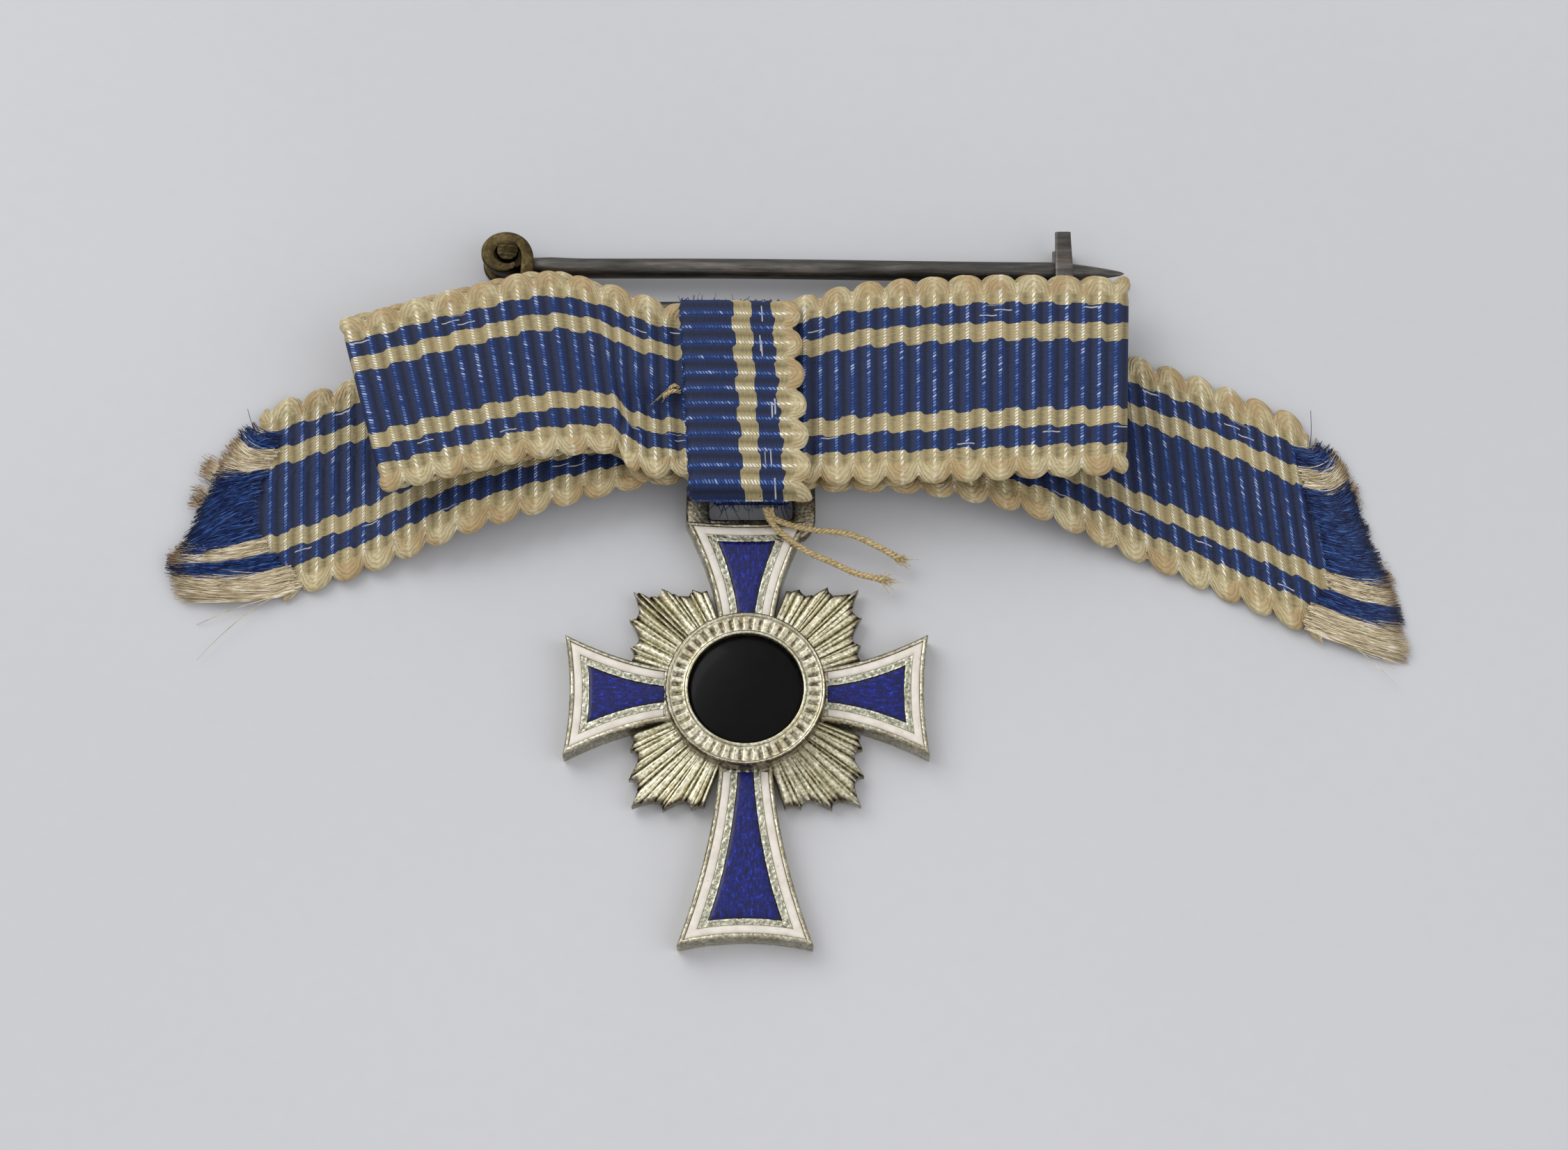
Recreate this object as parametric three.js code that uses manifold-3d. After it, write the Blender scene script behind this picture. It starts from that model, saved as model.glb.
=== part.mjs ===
// A small enamelled cross hanging from a striped ribbon bow with a brooch pin, lying on its back.
// Millimetres. +X to the right, +Y towards the brooch pin, +Z up from the surface it lies on.
// The origin is the middle of the object's outline, on that surface.
import * as THREE from 'three';
import { mergeVertices } from 'three/addons/utils/BufferGeometryUtils.js';
import Module from 'manifold-3d';

const wasm = await Module();
wasm.setup();

// ---- Driving dimensions ----------------------------------------------------------------

const ribbonWidth = 10;
const ribbonThickness = 0.4;
const lift = 0.05; // what lies on the surface keeps this much above it
const gap = 0.03; // between pieces that touch on the real object

const crossCentre = new THREE.Vector2(-1.95, -5.44);
const crossThickness = 1.2;
const waistHalf = 1.16; // half the width of an arm where it goes under the medallion
const armRoot = 1; // the arms overlap the middle disc from this distance outwards
const flareStart = 2.6; // distance from the cross's centre where the arms begin to widen
const flarePower = 1.75;
const bevelShare = 1.18; // the borders are this much wider along X than square to the sloping side
const rootShare = 0.75; // and they narrow to this share where the arm goes under the ring
// The curved end of each arm dips in by its hollow at the middle.
const arms = [
  { name: 'top', turn: 0, length: 8.42, endHalf: 2.8, hollow: 0.12 },
  { name: 'left', turn: Math.PI / 2, length: 8.25, endHalf: 2.87, hollow: 0.26 },
  { name: 'bottom', turn: Math.PI, length: 11.7, endHalf: 3.02, hollow: 0.35 },
  { name: 'right', turn: -Math.PI / 2, length: 8.3, endHalf: 2.87, hollow: 0.24 },
];
const metalBorder = 0.2; // polished edge outside the white enamel
const whiteWidth = 0.4;
const innerBorder = 0.33; // granular metal between the white and the blue enamel
const enamelDepth = 0.28;
const enamelStart = 3.72; // the cells begin just outside the medallion ring

const rayTips = [[2.45, 5.3], [3.75, 5.35], [5.15, 5.2], [5.3, 3.9], [5.25, 2.5]];
const rayRoot = [1.4, 4.4]; // where the plate goes under the arms
const rayValleyDepth = 0.5;
const rayFloor = 0.15;
const rayTop = 0.85;

const ringOuter = 3.64;
const ringInner = 2.6;
const ringTop = 2.1;
const rivetRadius = 0.45;

const frameCentreX = -1.76;
const frameOuterHalf = 2.97; // suspension frame on the top arm
const frameOpeningHalf = 1.93;
const frameBottom = 2.4;
const frameOpeningBottom = 3.14;
const frameAxisY = 4.55; // the round top bar that the hanger goes around
const frameAxisZ = 0.63;
const topBarRadius = 0.28;
const frameThickness = 0.7;
const hangerWidth = 3.5;
const hangerThickness = 0.24;
const hangerEnd = 9;

const bandLeft = -4.75;
const bandWidth = 5.53;
const bandLean = -0.06; // sideways shift per millimetre towards +Y
const bandMiddleY = 8.2;

const tailKnotWidth = 6.3; // the ribbons are gathered under the band
const tailHeight = 1.65; // middle of the tails where they pass over the brooch bar
const loopBackHeight = 2.25;
const loopFrontHeight = 3.1;

const barY = 13.85;
const barZ = 0.75;
const barRadius = 0.4;
const barStart = -13.3;
const barEnd = 13.4;
const hingeX = -13.3;
const hingeY = 16.5;
const lugRadius = 1.25;
const lugTop = 1.8;
const hingeRivetRadius = 0.5;
const eyeRadius = 1.0;
const eyeHeight = 0.84;
const stemY = 16.05;
const stemZ = 0.92;
const stemRadius = 0.44;
const stemEnd = 15.9;
const stemTaper = 3.2;
const catchX = 13;
const catchWidth = 0.84;

const threadRadius = 0.14;

// ---- Materials ---------------------------------------------------------------------------

const finish = (color, roughness, metalness) =>
  new THREE.MeshStandardMaterial({ color, roughness, metalness });
const ribbonCloth = () => finish(0x2b4a8c, 0.6, 0);
const silver = () => finish(0xbdb897, 0.35, 1);
const brass = () => finish(0x6b5a34, 0.45, 1);
const steel = () => finish(0x4a4443, 0.4, 1);
const blueEnamel = () => finish(0x14149a, 0.08, 0);
const whiteEnamel = () => finish(0xeadfd4, 0.15, 0);
const darkEnamel = () => finish(0x101012, 0.08, 0);
const straw = () => finish(0xc8a266, 0.8, 0);

// ---- Shape helpers -----------------------------------------------------------------------

const object = new THREE.Group();

function add(name, geometry, material) {
  const mesh = new THREE.Mesh(geometry, material);
  mesh.name = name;
  object.add(mesh);
}

function toSolid(geometry) {
  const plain = geometry.clone();
  plain.deleteAttribute('normal');
  plain.deleteAttribute('uv');
  const merged = mergeVertices(plain, 1e-5);
  return new wasm.Manifold(new wasm.Mesh({
    numProp: 3,
    vertProperties: Float32Array.from(merged.attributes.position.array),
    triVerts: Uint32Array.from(merged.index.array),
  }));
}

function toGeometry(solid) {
  const mesh = solid.getMesh();
  const geometry = new THREE.BufferGeometry();
  geometry.setAttribute('position', new THREE.BufferAttribute(Float32Array.from(mesh.vertProperties), 3));
  geometry.setIndex(new THREE.BufferAttribute(Uint32Array.from(mesh.triVerts), 1));
  geometry.computeVertexNormals();
  return geometry;
}

// A flat outline made solid between two heights.
function slab(shape, low, high) {
  const options = { depth: high - low, bevelEnabled: false, curveSegments: 8 };
  return new THREE.ExtrudeGeometry(shape, options).translate(0, 0, low);
}

// An outline drawn as (Y, Z), made solid along X from a start over a width.
function acrossX(shape, start, width, curveSegments = 8) {
  const geometry = new THREE.ExtrudeGeometry(shape, { depth: width, bevelEnabled: false, curveSegments });
  const axes = new THREE.Matrix4().makeBasis(
    new THREE.Vector3(0, 1, 0), new THREE.Vector3(0, 0, 1), new THREE.Vector3(1, 0, 0));
  return geometry.applyMatrix4(axes).translate(start, 0, 0);
}

function roundedPath(path, corners) {
  const count = corners.length;
  for (let i = 0; i < count; i += 1) {
    const [x, y, radius] = corners[i];
    const here = new THREE.Vector2(x, y);
    const before = new THREE.Vector2(...corners[(i + count - 1) % count].slice(0, 2));
    const after = new THREE.Vector2(...corners[(i + 1) % count].slice(0, 2));
    const enter = before.sub(here).setLength(radius).add(here);
    const leave = after.sub(here).setLength(radius).add(here);
    if (i === 0) path.moveTo(enter.x, enter.y);
    else path.lineTo(enter.x, enter.y);
    path.quadraticCurveTo(here.x, here.y, leave.x, leave.y);
  }
  path.closePath();
  return path;
}

function uprightCylinder(radius, low, high, x, y, sides = 24) {
  const geometry = new THREE.CylinderGeometry(radius, radius, high - low, sides);
  return geometry.rotateX(Math.PI / 2).translate(x, y, (low + high) / 2);
}

function rod(radius, start, end, y, z, sides = 16) {
  const geometry = new THREE.CylinderGeometry(radius, radius, end - start, sides);
  return geometry.rotateZ(Math.PI / 2).translate((start + end) / 2, y, z);
}

// A flat strip bent along a route: place(t, w) gives the point on the strip's middle surface
// at t from 0 to 1 along it and w across it, and up(t) gives the direction out of its face.
function bentStrip(place, up, widthAt, thickness, steps) {
  const geometry = new THREE.BoxGeometry(1, 1, 1, steps, 2, 1);
  const points = geometry.attributes.position;
  for (let i = 0; i < points.count; i += 1) {
    const t = points.getX(i) + 0.5;
    const across = points.getY(i) * widthAt(t);
    const point = place(t, across).addScaledVector(up(t), points.getZ(i) * thickness);
    points.setXYZ(i, point.x, point.y, point.z);
  }
  return geometry;
}

// ---- The cross ---------------------------------------------------------------------------

// Outline of one arm pointing to +Y from the cross's centre, drawn in by an inset.
function armOutline(arm, inset, start) {
  const sideSteps = 8;
  const end = arm.length - inset;
  const half = (v) => {
    const share = Math.max(0, (v - flareStart) / (arm.length - flareStart));
    const border = inset * bevelShare * (rootShare + (1 - rootShare) * share);
    return waistHalf + (arm.endHalf - waistHalf) * share ** flarePower - border;
  };
  const shape = new THREE.Shape();
  shape.moveTo(-half(start), start);
  shape.lineTo(half(start), start);
  for (let i = 1; i <= sideSteps; i += 1) {
    const v = start + (end - start) * (i / sideSteps);
    shape.lineTo(half(v), v);
  }
  shape.quadraticCurveTo(0, end - 2 * arm.hollow, -half(end), end);
  for (let i = sideSteps - 1; i >= 1; i -= 1) {
    const v = start + (end - start) * (i / sideSteps);
    shape.lineTo(-half(v), v);
  }
  shape.closePath();
  return shape;
}

function onCross(geometry, turn) {
  return geometry.rotateZ(turn).translate(crossCentre.x, crossCentre.y, 0);
}

function armSolid(arm, inset, start, low, high) {
  return toSolid(onCross(slab(armOutline(arm, inset, start), low, high), arm.turn));
}

// Saw-toothed plate of rays that shows between the arms.
function rayPlate() {
  const shape = new THREE.Shape();
  for (let quarter = 0; quarter < 4; quarter += 1) {
    const turn = quarter * Math.PI / 2;
    const outline = [];
    for (let i = rayTips.length - 1; i >= 0; i -= 1) {
      const [x, y] = rayTips[i];
      outline.push(new THREE.Vector2(x, y));
      if (i > 0) {
        const middle = new THREE.Vector2((x + rayTips[i - 1][0]) / 2, (y + rayTips[i - 1][1]) / 2);
        outline.push(middle.setLength(middle.length() - rayValleyDepth));
      }
    }
    outline.unshift(new THREE.Vector2(rayRoot[1], rayRoot[0]));
    outline.push(new THREE.Vector2(rayRoot[0], rayRoot[1]));
    for (const point of outline) {
      point.rotateAround(new THREE.Vector2(0, 0), turn);
      if (quarter === 0 && point === outline[0]) shape.moveTo(point.x, point.y);
      else shape.lineTo(point.x, point.y);
    }
  }
  shape.closePath();
  return toSolid(onCross(slab(shape, rayFloor, rayTop), 0));
}

// Rectangular frame on the end of the top arm, with a round top bar.
function suspensionFrame() {
  const left = frameCentreX - frameOuterHalf;
  const right = frameCentreX + frameOuterHalf;
  const shape = new THREE.Shape();
  shape.moveTo(left, frameBottom);
  shape.lineTo(right, frameBottom);
  shape.lineTo(right, frameAxisY);
  shape.lineTo(frameCentreX + frameOpeningHalf, frameAxisY);
  shape.lineTo(frameCentreX + frameOpeningHalf, frameOpeningBottom);
  shape.lineTo(frameCentreX - frameOpeningHalf, frameOpeningBottom);
  shape.lineTo(frameCentreX - frameOpeningHalf, frameAxisY);
  shape.lineTo(left, frameAxisY);
  shape.closePath();
  const low = frameAxisZ - frameThickness / 2;
  const posts = toSolid(slab(shape, low, low + frameThickness));
  return posts.add(toSolid(rod(topBarRadius, left, right, frameAxisY, frameAxisZ)));
}

// White enamel along both sides and the end of an arm, grown by a margin.
function whiteCell(arm, margin, low, high) {
  const outer = armSolid(arm, metalBorder - margin, enamelStart - margin, low, high);
  const inner = armSolid(arm, metalBorder + whiteWidth + margin, enamelStart - 1, low - 1, high + 1);
  return outer.subtract(inner);
}

function makeCross() {
  let body = rayPlate().add(suspensionFrame());
  body = body.add(toSolid(uprightCylinder(ringOuter, 0, crossThickness, crossCentre.x, crossCentre.y, 48)));
  for (const arm of arms) {
    body = body.add(armSolid(arm, 0, armRoot, 0, crossThickness));
  }
  const floor = crossThickness - enamelDepth;
  const blueInset = metalBorder + whiteWidth + innerBorder;
  for (const arm of arms) {
    const white = whiteCell(arm, 0, floor, crossThickness);
    const blue = armSolid(arm, blueInset, enamelStart, floor, crossThickness);
    const whiteCut = whiteCell(arm, gap, floor - gap, crossThickness + 1);
    const blueCut = armSolid(arm, blueInset - gap, enamelStart - gap, floor - gap, crossThickness + 1);
    body = body.subtract(whiteCut).subtract(blueCut);
    add(`enamel_white_${arm.name}`, toGeometry(white), whiteEnamel());
    add(`enamel_blue_${arm.name}`, toGeometry(blue), blueEnamel());
  }
  const hole = uprightCylinder(rivetRadius + gap, -1, crossThickness + 1, crossCentre.x, crossCentre.y);
  add('cross_body', toGeometry(body.subtract(toSolid(hole))), silver());
}

function makeMedallion() {
  const seat = crossThickness + gap;
  const onCentre = (geometry) => geometry.rotateX(Math.PI / 2).translate(crossCentre.x, crossCentre.y, 0);
  const rimWidth = 0.18;
  const rimHeight = 0.12;
  const ring = [
    [ringInner, seat],
    [ringOuter, seat],
    [ringOuter, ringTop],
    [ringOuter - rimWidth, ringTop],
    [ringOuter - rimWidth, ringTop - rimHeight],
    [ringInner + rimWidth, ringTop - rimHeight],
    [ringInner + rimWidth, ringTop],
    [ringInner, ringTop],
    [ringInner, seat],
  ].map(([r, z]) => new THREE.Vector2(r, z));
  add('medallion_ring', onCentre(new THREE.LatheGeometry(ring, 64)), silver());
  const discRadius = ringInner - gap;
  const edgeTop = 1.8;
  const crown = 0.2;
  const disc = [new THREE.Vector2(0, seat), new THREE.Vector2(discRadius, seat)];
  for (let i = 0; i <= 5; i += 1) {
    const share = 1 - i / 5;
    disc.push(new THREE.Vector2(discRadius * share, edgeTop + crown * (1 - share * share)));
  }
  add('medallion_disc', onCentre(new THREE.LatheGeometry(disc, 48)), darkEnamel());
  add('medallion_rivet',
    uprightCylinder(rivetRadius, 0, crossThickness, crossCentre.x, crossCentre.y), silver());
}

// ---- The hanger between cross and bow -------------------------------------------------------

// A narrow strip looped around the frame's top bar; its two ends lie together behind the bow.
function makeHanger() {
  const inner = topBarRadius + gap;
  const outer = inner + hangerThickness;
  const low = frameAxisZ - outer;
  const shape = new THREE.Shape();
  shape.moveTo(hangerEnd, low);
  shape.absarc(frameAxisY, frameAxisZ, outer, 1.5 * Math.PI, 0.35, true);
  shape.lineTo(frameAxisY + 1.1, low + hangerThickness);
  shape.lineTo(hangerEnd, low + hangerThickness);
  shape.closePath();
  const opening = new THREE.Path();
  opening.absarc(frameAxisY, frameAxisZ, inner, 0, 1.95 * Math.PI, false);
  opening.closePath();
  shape.holes.push(opening);
  add('hanger_ribbon', acrossX(shape, frameCentreX - hangerWidth / 2, hangerWidth, 10), ribbonCloth());
}

// ---- The bow -------------------------------------------------------------------------------

// The band closes around the middle of the bow, over the loops and tails.
function makeBand() {
  const outer = [
    [3.2, 3.9, 0.7], [3.2, 2.5, 0.6], [5.4, 0.98, 0.5], [12.5, 0.98, 0.5], [13.15, 1.8, 0.3],
    [13.15, 3.9, 0.7],
  ];
  const inner = [
    [3.65, 3.45, 0.3], [3.65, 2.75, 0.3], [5.5, 1.43, 0.3], [12.3, 1.43, 0.2], [12.7, 1.95, 0.2],
    [12.7, 3.45, 0.3],
  ];
  const shape = roundedPath(new THREE.Shape(), outer);
  shape.holes.push(roundedPath(new THREE.Path(), inner));
  const ring = acrossX(shape, bandLeft, bandWidth, 4);
  const lean = new THREE.Matrix4().makeShear(0, 0, bandLean, 0, 0, 0);
  ring.translate(0, -bandMiddleY, 0).applyMatrix4(lean).translate(0, bandMiddleY, 0);
  add('knot_band', ring, ribbonCloth());
}

// A plan route for a ribbon: a smooth curve through points on the surface, by distance.
function planRoute(points) {
  const curve = new THREE.CatmullRomCurve3(points.map(([x, y]) => new THREE.Vector3(x, y, 0)));
  const length = curve.getLength();
  const at = (distance) => {
    const share = Math.min(Math.max(distance / length, 0), 1);
    const along = curve.getTangentAt(share);
    const point = curve.getPointAt(share).addScaledVector(along, distance - share * length);
    return { point, along, side: new THREE.Vector3(-along.y, along.x, 0) };
  };
  return { length, at };
}

// A loop: out along the back layer, around the fold, and home along the front layer.
function loopSolid(points, knotWidth, steps) {
  const route = planRoute(points);
  const radius = (loopFrontHeight - loopBackHeight) / 2;
  const run = route.length - radius;
  const total = 2 * run + Math.PI * radius;
  const turned = (t) => THREE.MathUtils.clamp((t * total - run) / radius, 0, Math.PI);
  const distance = (t) => {
    if (t * total <= run) return t * total;
    if (t * total >= total - run) return total - t * total;
    return run + radius * Math.sin(turned(t));
  };
  const up = (t) => {
    const { along } = route.at(distance(t));
    return new THREE.Vector3(0, 0, Math.cos(turned(t))).addScaledVector(along, -Math.sin(turned(t)));
  };
  const place = (t, across) => {
    const { point, side } = route.at(distance(t));
    point.z = (loopBackHeight + loopFrontHeight) / 2 - radius * Math.cos(turned(t));
    return point.addScaledVector(side, across);
  };
  const widthAt = (t) => {
    const share = THREE.MathUtils.smoothstep(distance(t), 3.7, 6);
    return knotWidth + (ribbonWidth - knotWidth) * share;
  };
  return bentStrip(place, up, widthAt, ribbonThickness, steps);
}

function makeLoops() {
  const right = [[-1.65, 8.65], [1.2, 8.7], [6, 9.1], [15.75, 9.65]];
  const left = [[-2.1, 8.6], [-5.2, 8.65], [-8.2, 9.5], [-12, 9.85], [-19.75, 8.0]];
  add('bow_loop_right', loopSolid(right, 7.4, 36), ribbonCloth());
  add('bow_loop_left', loopSolid(left, 7.2, 40), ribbonCloth());
}

// A tail leaves the knot over the brooch bar, comes down to the surface and ends in a fringe.
function tailRoute(side) {
  const points = side === 'left'
    ? [[-2.1, 8.9], [-5.6, 9.05], [-10.6, 8.5], [-16.8, 6.7], [-24.6, 4.2]]
    : [[-1.65, 8.9], [1.4, 8.95], [6.2, 9.1], [13, 7.6], [18.2, 5.6], [24.2, 2.85]];
  return planRoute(points);
}

const tailEnds = {
  left: { slant: -0.09, tufts: 10, longFringe: 5.8, shortFringe: 1.5 },
  right: { slant: -0.26, tufts: 9, longFringe: 5.7, shortFringe: 1.7 },
};

function makeTail(side) {
  const route = tailRoute(side);
  const { slant, tufts, longFringe, shortFringe } = tailEnds[side];
  const towardsPin = side === 'left' ? -1 : 1; // side vector points to +Y on the right tail
  const rest = lift + ribbonThickness / 2;
  const height = (distance) => rest
    + (tailHeight - rest) * (1 - THREE.MathUtils.smoothstep(distance, 13.5, 19));
  const reach = (t, across) => t * (route.length + slant * across * towardsPin);
  const place = (t, across) => {
    const { point, side: sideways } = route.at(reach(t, across));
    point.z = height(reach(t, 0));
    return point.addScaledVector(sideways, across);
  };
  const up = () => new THREE.Vector3(0, 0, 1);
  const widthAt = (t) => {
    const share = THREE.MathUtils.smoothstep(reach(t, 0), 3.7, 6);
    return tailKnotWidth + (ribbonWidth - tailKnotWidth) * share;
  };
  add(`tail_${side}`, bentStrip(place, up, widthAt, ribbonThickness, 40), ribbonCloth());

  const halfWidth = ribbonWidth / 2 - 0.2;
  const onEnd = (across, beyond) => {
    const { point, side: sideways } = route.at(reach(1, across) + beyond);
    return point.addScaledVector(sideways, across);
  };
  const outline = [onEnd(halfWidth, gap), onEnd(-halfWidth, gap)];
  for (let i = 0; i <= 2 * tufts; i += 1) {
    const share = i / (2 * tufts);
    const across = -halfWidth + 2 * halfWidth * share;
    const awayFromPin = 0.5 - 0.5 * across * towardsPin / halfWidth;
    const tip = shortFringe + (longFringe - shortFringe) * awayFromPin;
    outline.push(onEnd(across, i % 2 === 1 ? tip : tip - 0.9));
  }
  const shape = new THREE.Shape(outline.map((point) => new THREE.Vector2(point.x, point.y)));
  add(`fringe_${side}`, slab(shape, lift, lift + 0.3), ribbonCloth());
}

function threadAlong(path, steps) {
  const circle = new THREE.Shape();
  circle.absarc(0, 0, threadRadius, 0, 2 * Math.PI, false);
  return new THREE.ExtrudeGeometry(circle, { steps, extrudePath: path, curveSegments: 4 });
}

// Loose ends of the sewing thread, out of the band's lower edge and over the cross's top arm.
function makeThreads() {
  const ends = {
    upper: [[-0.75, 2.95, 1.75], [-0.3, 2.75, 1.6], [1.09, 2.42, 1.5], [2.85, 2.21, 1.4],
      [3.94, 1.78, 1.2], [5.06, 1.24, 0.9]],
    lower: [[-1.1, 2.95, 1.75], [-0.88, 2.62, 1.6], [-0.26, 2.02, 1.42], [0.54, 1.35, 1.4],
      [1.63, 0.88, 1.3], [2.97, 0.31, 1.1], [4.31, 0.14, 0.9]],
  };
  for (const [name, points] of Object.entries(ends)) {
    const path = new THREE.CatmullRomCurve3(points.map((point) => new THREE.Vector3(...point)));
    add(`thread_end_${name}`, threadAlong(path, 20), straw());
  }
}

// A short stitch beside the band, holding it to the loops.
function makeStitch() {
  const points = [[-6.3, 8.55, 3.5], [-5.7, 8.55, 3.62], [-5.15, 8.55, 3.5]];
  const path = new THREE.QuadraticBezierCurve3(...points.map((point) => new THREE.Vector3(...point)));
  add('knot_stitch', threadAlong(path, 6), straw());
}

// ---- The brooch ----------------------------------------------------------------------------

// Sewing thread wound around the bar behind the knot; the bar turns in it.
function makeLashing() {
  const turns = 3;
  const length = 3.4;
  const start = frameCentreX - length / 2;
  const coil = new THREE.Curve();
  const radius = barRadius + threadRadius + gap;
  coil.getPoint = (t, target = new THREE.Vector3()) => {
    const angle = 2 * Math.PI * turns * t;
    return target.set(start + length * t, barY + radius * Math.cos(angle), barZ + radius * Math.sin(angle));
  };
  add('bar_lashing', threadAlong(coil, 16 * turns), straw());
}

// A box standing between two heights, from a corner at (x, y).
function block(width, depth, low, high, x, y) {
  const box = new THREE.BoxGeometry(width, depth, high - low);
  return box.translate(x + width / 2, y + depth / 2, (low + high) / 2);
}

// Two cheeks round the rivet, joined by a leg down to the bar, with a slot for the stem's eye.
function makeHinge() {
  const legWidth = 0.64;
  const legStart = barY + barRadius + gap;
  const slotLow = stemZ - eyeHeight / 2 - gap;
  const slotHigh = stemZ + eyeHeight / 2 + gap;
  const legX = hingeX + lugRadius - legWidth;
  const leg = block(legWidth, hingeY - legStart, lift, lugTop, legX, legStart);
  const slotStart = stemY - stemRadius - 0.06;
  const slotDepth = hingeY + 2 * lugRadius - slotStart;
  const slot = block(2 * lugRadius, slotDepth, slotLow, slotHigh, hingeX, slotStart);
  const aroundEye = uprightCylinder(eyeRadius + gap, slotLow, slotHigh, hingeX, hingeY, 32);
  const hole = uprightCylinder(hingeRivetRadius + gap, 0, 2 * lugTop, hingeX, hingeY);
  let lug = toSolid(uprightCylinder(lugRadius, lift, lugTop, hingeX, hingeY, 40));
  lug = lug.add(toSolid(leg)).subtract(toSolid(slot));
  lug = lug.subtract(toSolid(aroundEye)).subtract(toSolid(hole));
  add('hinge_lug', toGeometry(lug), brass());
  add('hinge_rivet', uprightCylinder(hingeRivetRadius, lift, lugTop + 0.08, hingeX, hingeY), brass());
}

function makeStem() {
  const low = stemZ - eyeHeight / 2;
  const root = hingeX + (hingeRivetRadius + eyeRadius) / 2;
  const profile = [
    [0, root], [stemRadius, root], [stemRadius, stemEnd - stemTaper],
    [stemRadius * 0.86, stemEnd - stemTaper * 0.6], [stemRadius * 0.52, stemEnd - stemTaper * 0.22],
    [0, stemEnd],
  ].map(([r, x]) => new THREE.Vector2(r, x));
  const shaft = new THREE.LatheGeometry(profile, 16).rotateZ(-Math.PI / 2).translate(0, stemY, stemZ);
  const eye = uprightCylinder(eyeRadius, low, low + eyeHeight, hingeX, hingeY, 32);
  const hole = uprightCylinder(hingeRivetRadius + gap, 0, 2 * lugTop, hingeX, hingeY);
  add('pin_stem', toGeometry(toSolid(shaft).add(toSolid(eye)).subtract(toSolid(hole))), steel());
}

// A strip bent over and under the stem, open towards +Y, where the stem swings out.
function makeCatch() {
  const strip = 0.33;
  const inside = stemRadius + 0.06;
  const back = barY + barRadius + gap;
  const low = stemZ - inside;
  const high = stemZ + inside;
  const mouth = 17.5;
  const shape = new THREE.Shape();
  shape.moveTo(mouth, high + strip);
  shape.lineTo(back + strip, high + strip);
  shape.quadraticCurveTo(back, high + strip, back, high);
  shape.lineTo(back, low);
  shape.quadraticCurveTo(back, low - strip, back + strip, low - strip);
  shape.lineTo(mouth - 0.4, low - strip);
  shape.lineTo(mouth - 0.4, low);
  shape.lineTo(back + strip, low);
  shape.lineTo(back + strip, high);
  shape.lineTo(mouth, high);
  shape.closePath();
  add('catch_clip', acrossX(shape, catchX - catchWidth / 2, catchWidth), steel());
}

function makeBrooch() {
  add('brooch_bar', rod(barRadius, barStart, barEnd, barY, barZ), steel());
  makeHinge();
  makeStem();
  makeCatch();
  makeLashing();
}

// ---- Assembly ------------------------------------------------------------------------------

makeCross();
makeMedallion();
makeHanger();
makeBand();
makeLoops();
makeTail('left');
makeTail('right');
makeThreads();
makeStitch();
makeBrooch();

const outline = new THREE.Box3().setFromObject(object);
const middle = outline.getCenter(new THREE.Vector3());
object.position.set(-middle.x, -middle.y, -outline.min.z);

export default object;
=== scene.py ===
# Looks of the award ribbon: a striped ribbon bow with a brooch pin and a small enamelled cross.
# Lengths below are in the part's own drawing millimetres unless a name ends in _m. The drawing
# is moved by `shift` and scaled by `mm` into the row frame.
import math

import bpy
import numpy as np
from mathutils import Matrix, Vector


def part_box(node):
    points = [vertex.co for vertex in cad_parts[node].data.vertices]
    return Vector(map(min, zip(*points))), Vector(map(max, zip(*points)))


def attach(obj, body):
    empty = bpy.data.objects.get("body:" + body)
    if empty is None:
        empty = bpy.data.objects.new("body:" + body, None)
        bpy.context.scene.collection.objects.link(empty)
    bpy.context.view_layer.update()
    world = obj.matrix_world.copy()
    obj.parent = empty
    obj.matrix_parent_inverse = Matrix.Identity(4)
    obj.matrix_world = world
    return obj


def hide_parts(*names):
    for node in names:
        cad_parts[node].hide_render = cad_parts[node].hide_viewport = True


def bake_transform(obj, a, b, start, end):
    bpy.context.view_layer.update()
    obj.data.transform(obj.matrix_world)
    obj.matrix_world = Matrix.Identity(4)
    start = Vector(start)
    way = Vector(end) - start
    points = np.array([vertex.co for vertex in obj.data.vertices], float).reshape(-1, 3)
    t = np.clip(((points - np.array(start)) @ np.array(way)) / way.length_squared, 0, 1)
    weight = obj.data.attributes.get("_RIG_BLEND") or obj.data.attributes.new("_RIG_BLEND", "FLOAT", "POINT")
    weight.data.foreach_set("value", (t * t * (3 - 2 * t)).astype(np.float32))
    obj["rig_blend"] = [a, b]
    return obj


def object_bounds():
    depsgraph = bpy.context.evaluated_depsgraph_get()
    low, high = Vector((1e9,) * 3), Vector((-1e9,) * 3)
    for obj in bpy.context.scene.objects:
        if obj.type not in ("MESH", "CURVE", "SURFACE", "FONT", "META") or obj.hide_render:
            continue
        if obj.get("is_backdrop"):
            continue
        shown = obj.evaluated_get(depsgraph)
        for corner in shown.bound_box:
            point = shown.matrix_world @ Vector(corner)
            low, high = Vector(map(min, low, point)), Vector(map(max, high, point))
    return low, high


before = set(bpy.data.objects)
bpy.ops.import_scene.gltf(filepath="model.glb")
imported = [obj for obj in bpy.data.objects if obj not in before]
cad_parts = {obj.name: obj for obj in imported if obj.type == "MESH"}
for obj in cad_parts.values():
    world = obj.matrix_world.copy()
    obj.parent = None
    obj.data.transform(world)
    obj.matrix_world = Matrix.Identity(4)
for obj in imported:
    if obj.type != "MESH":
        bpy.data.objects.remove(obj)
cad_low, cad_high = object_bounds()

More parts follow.
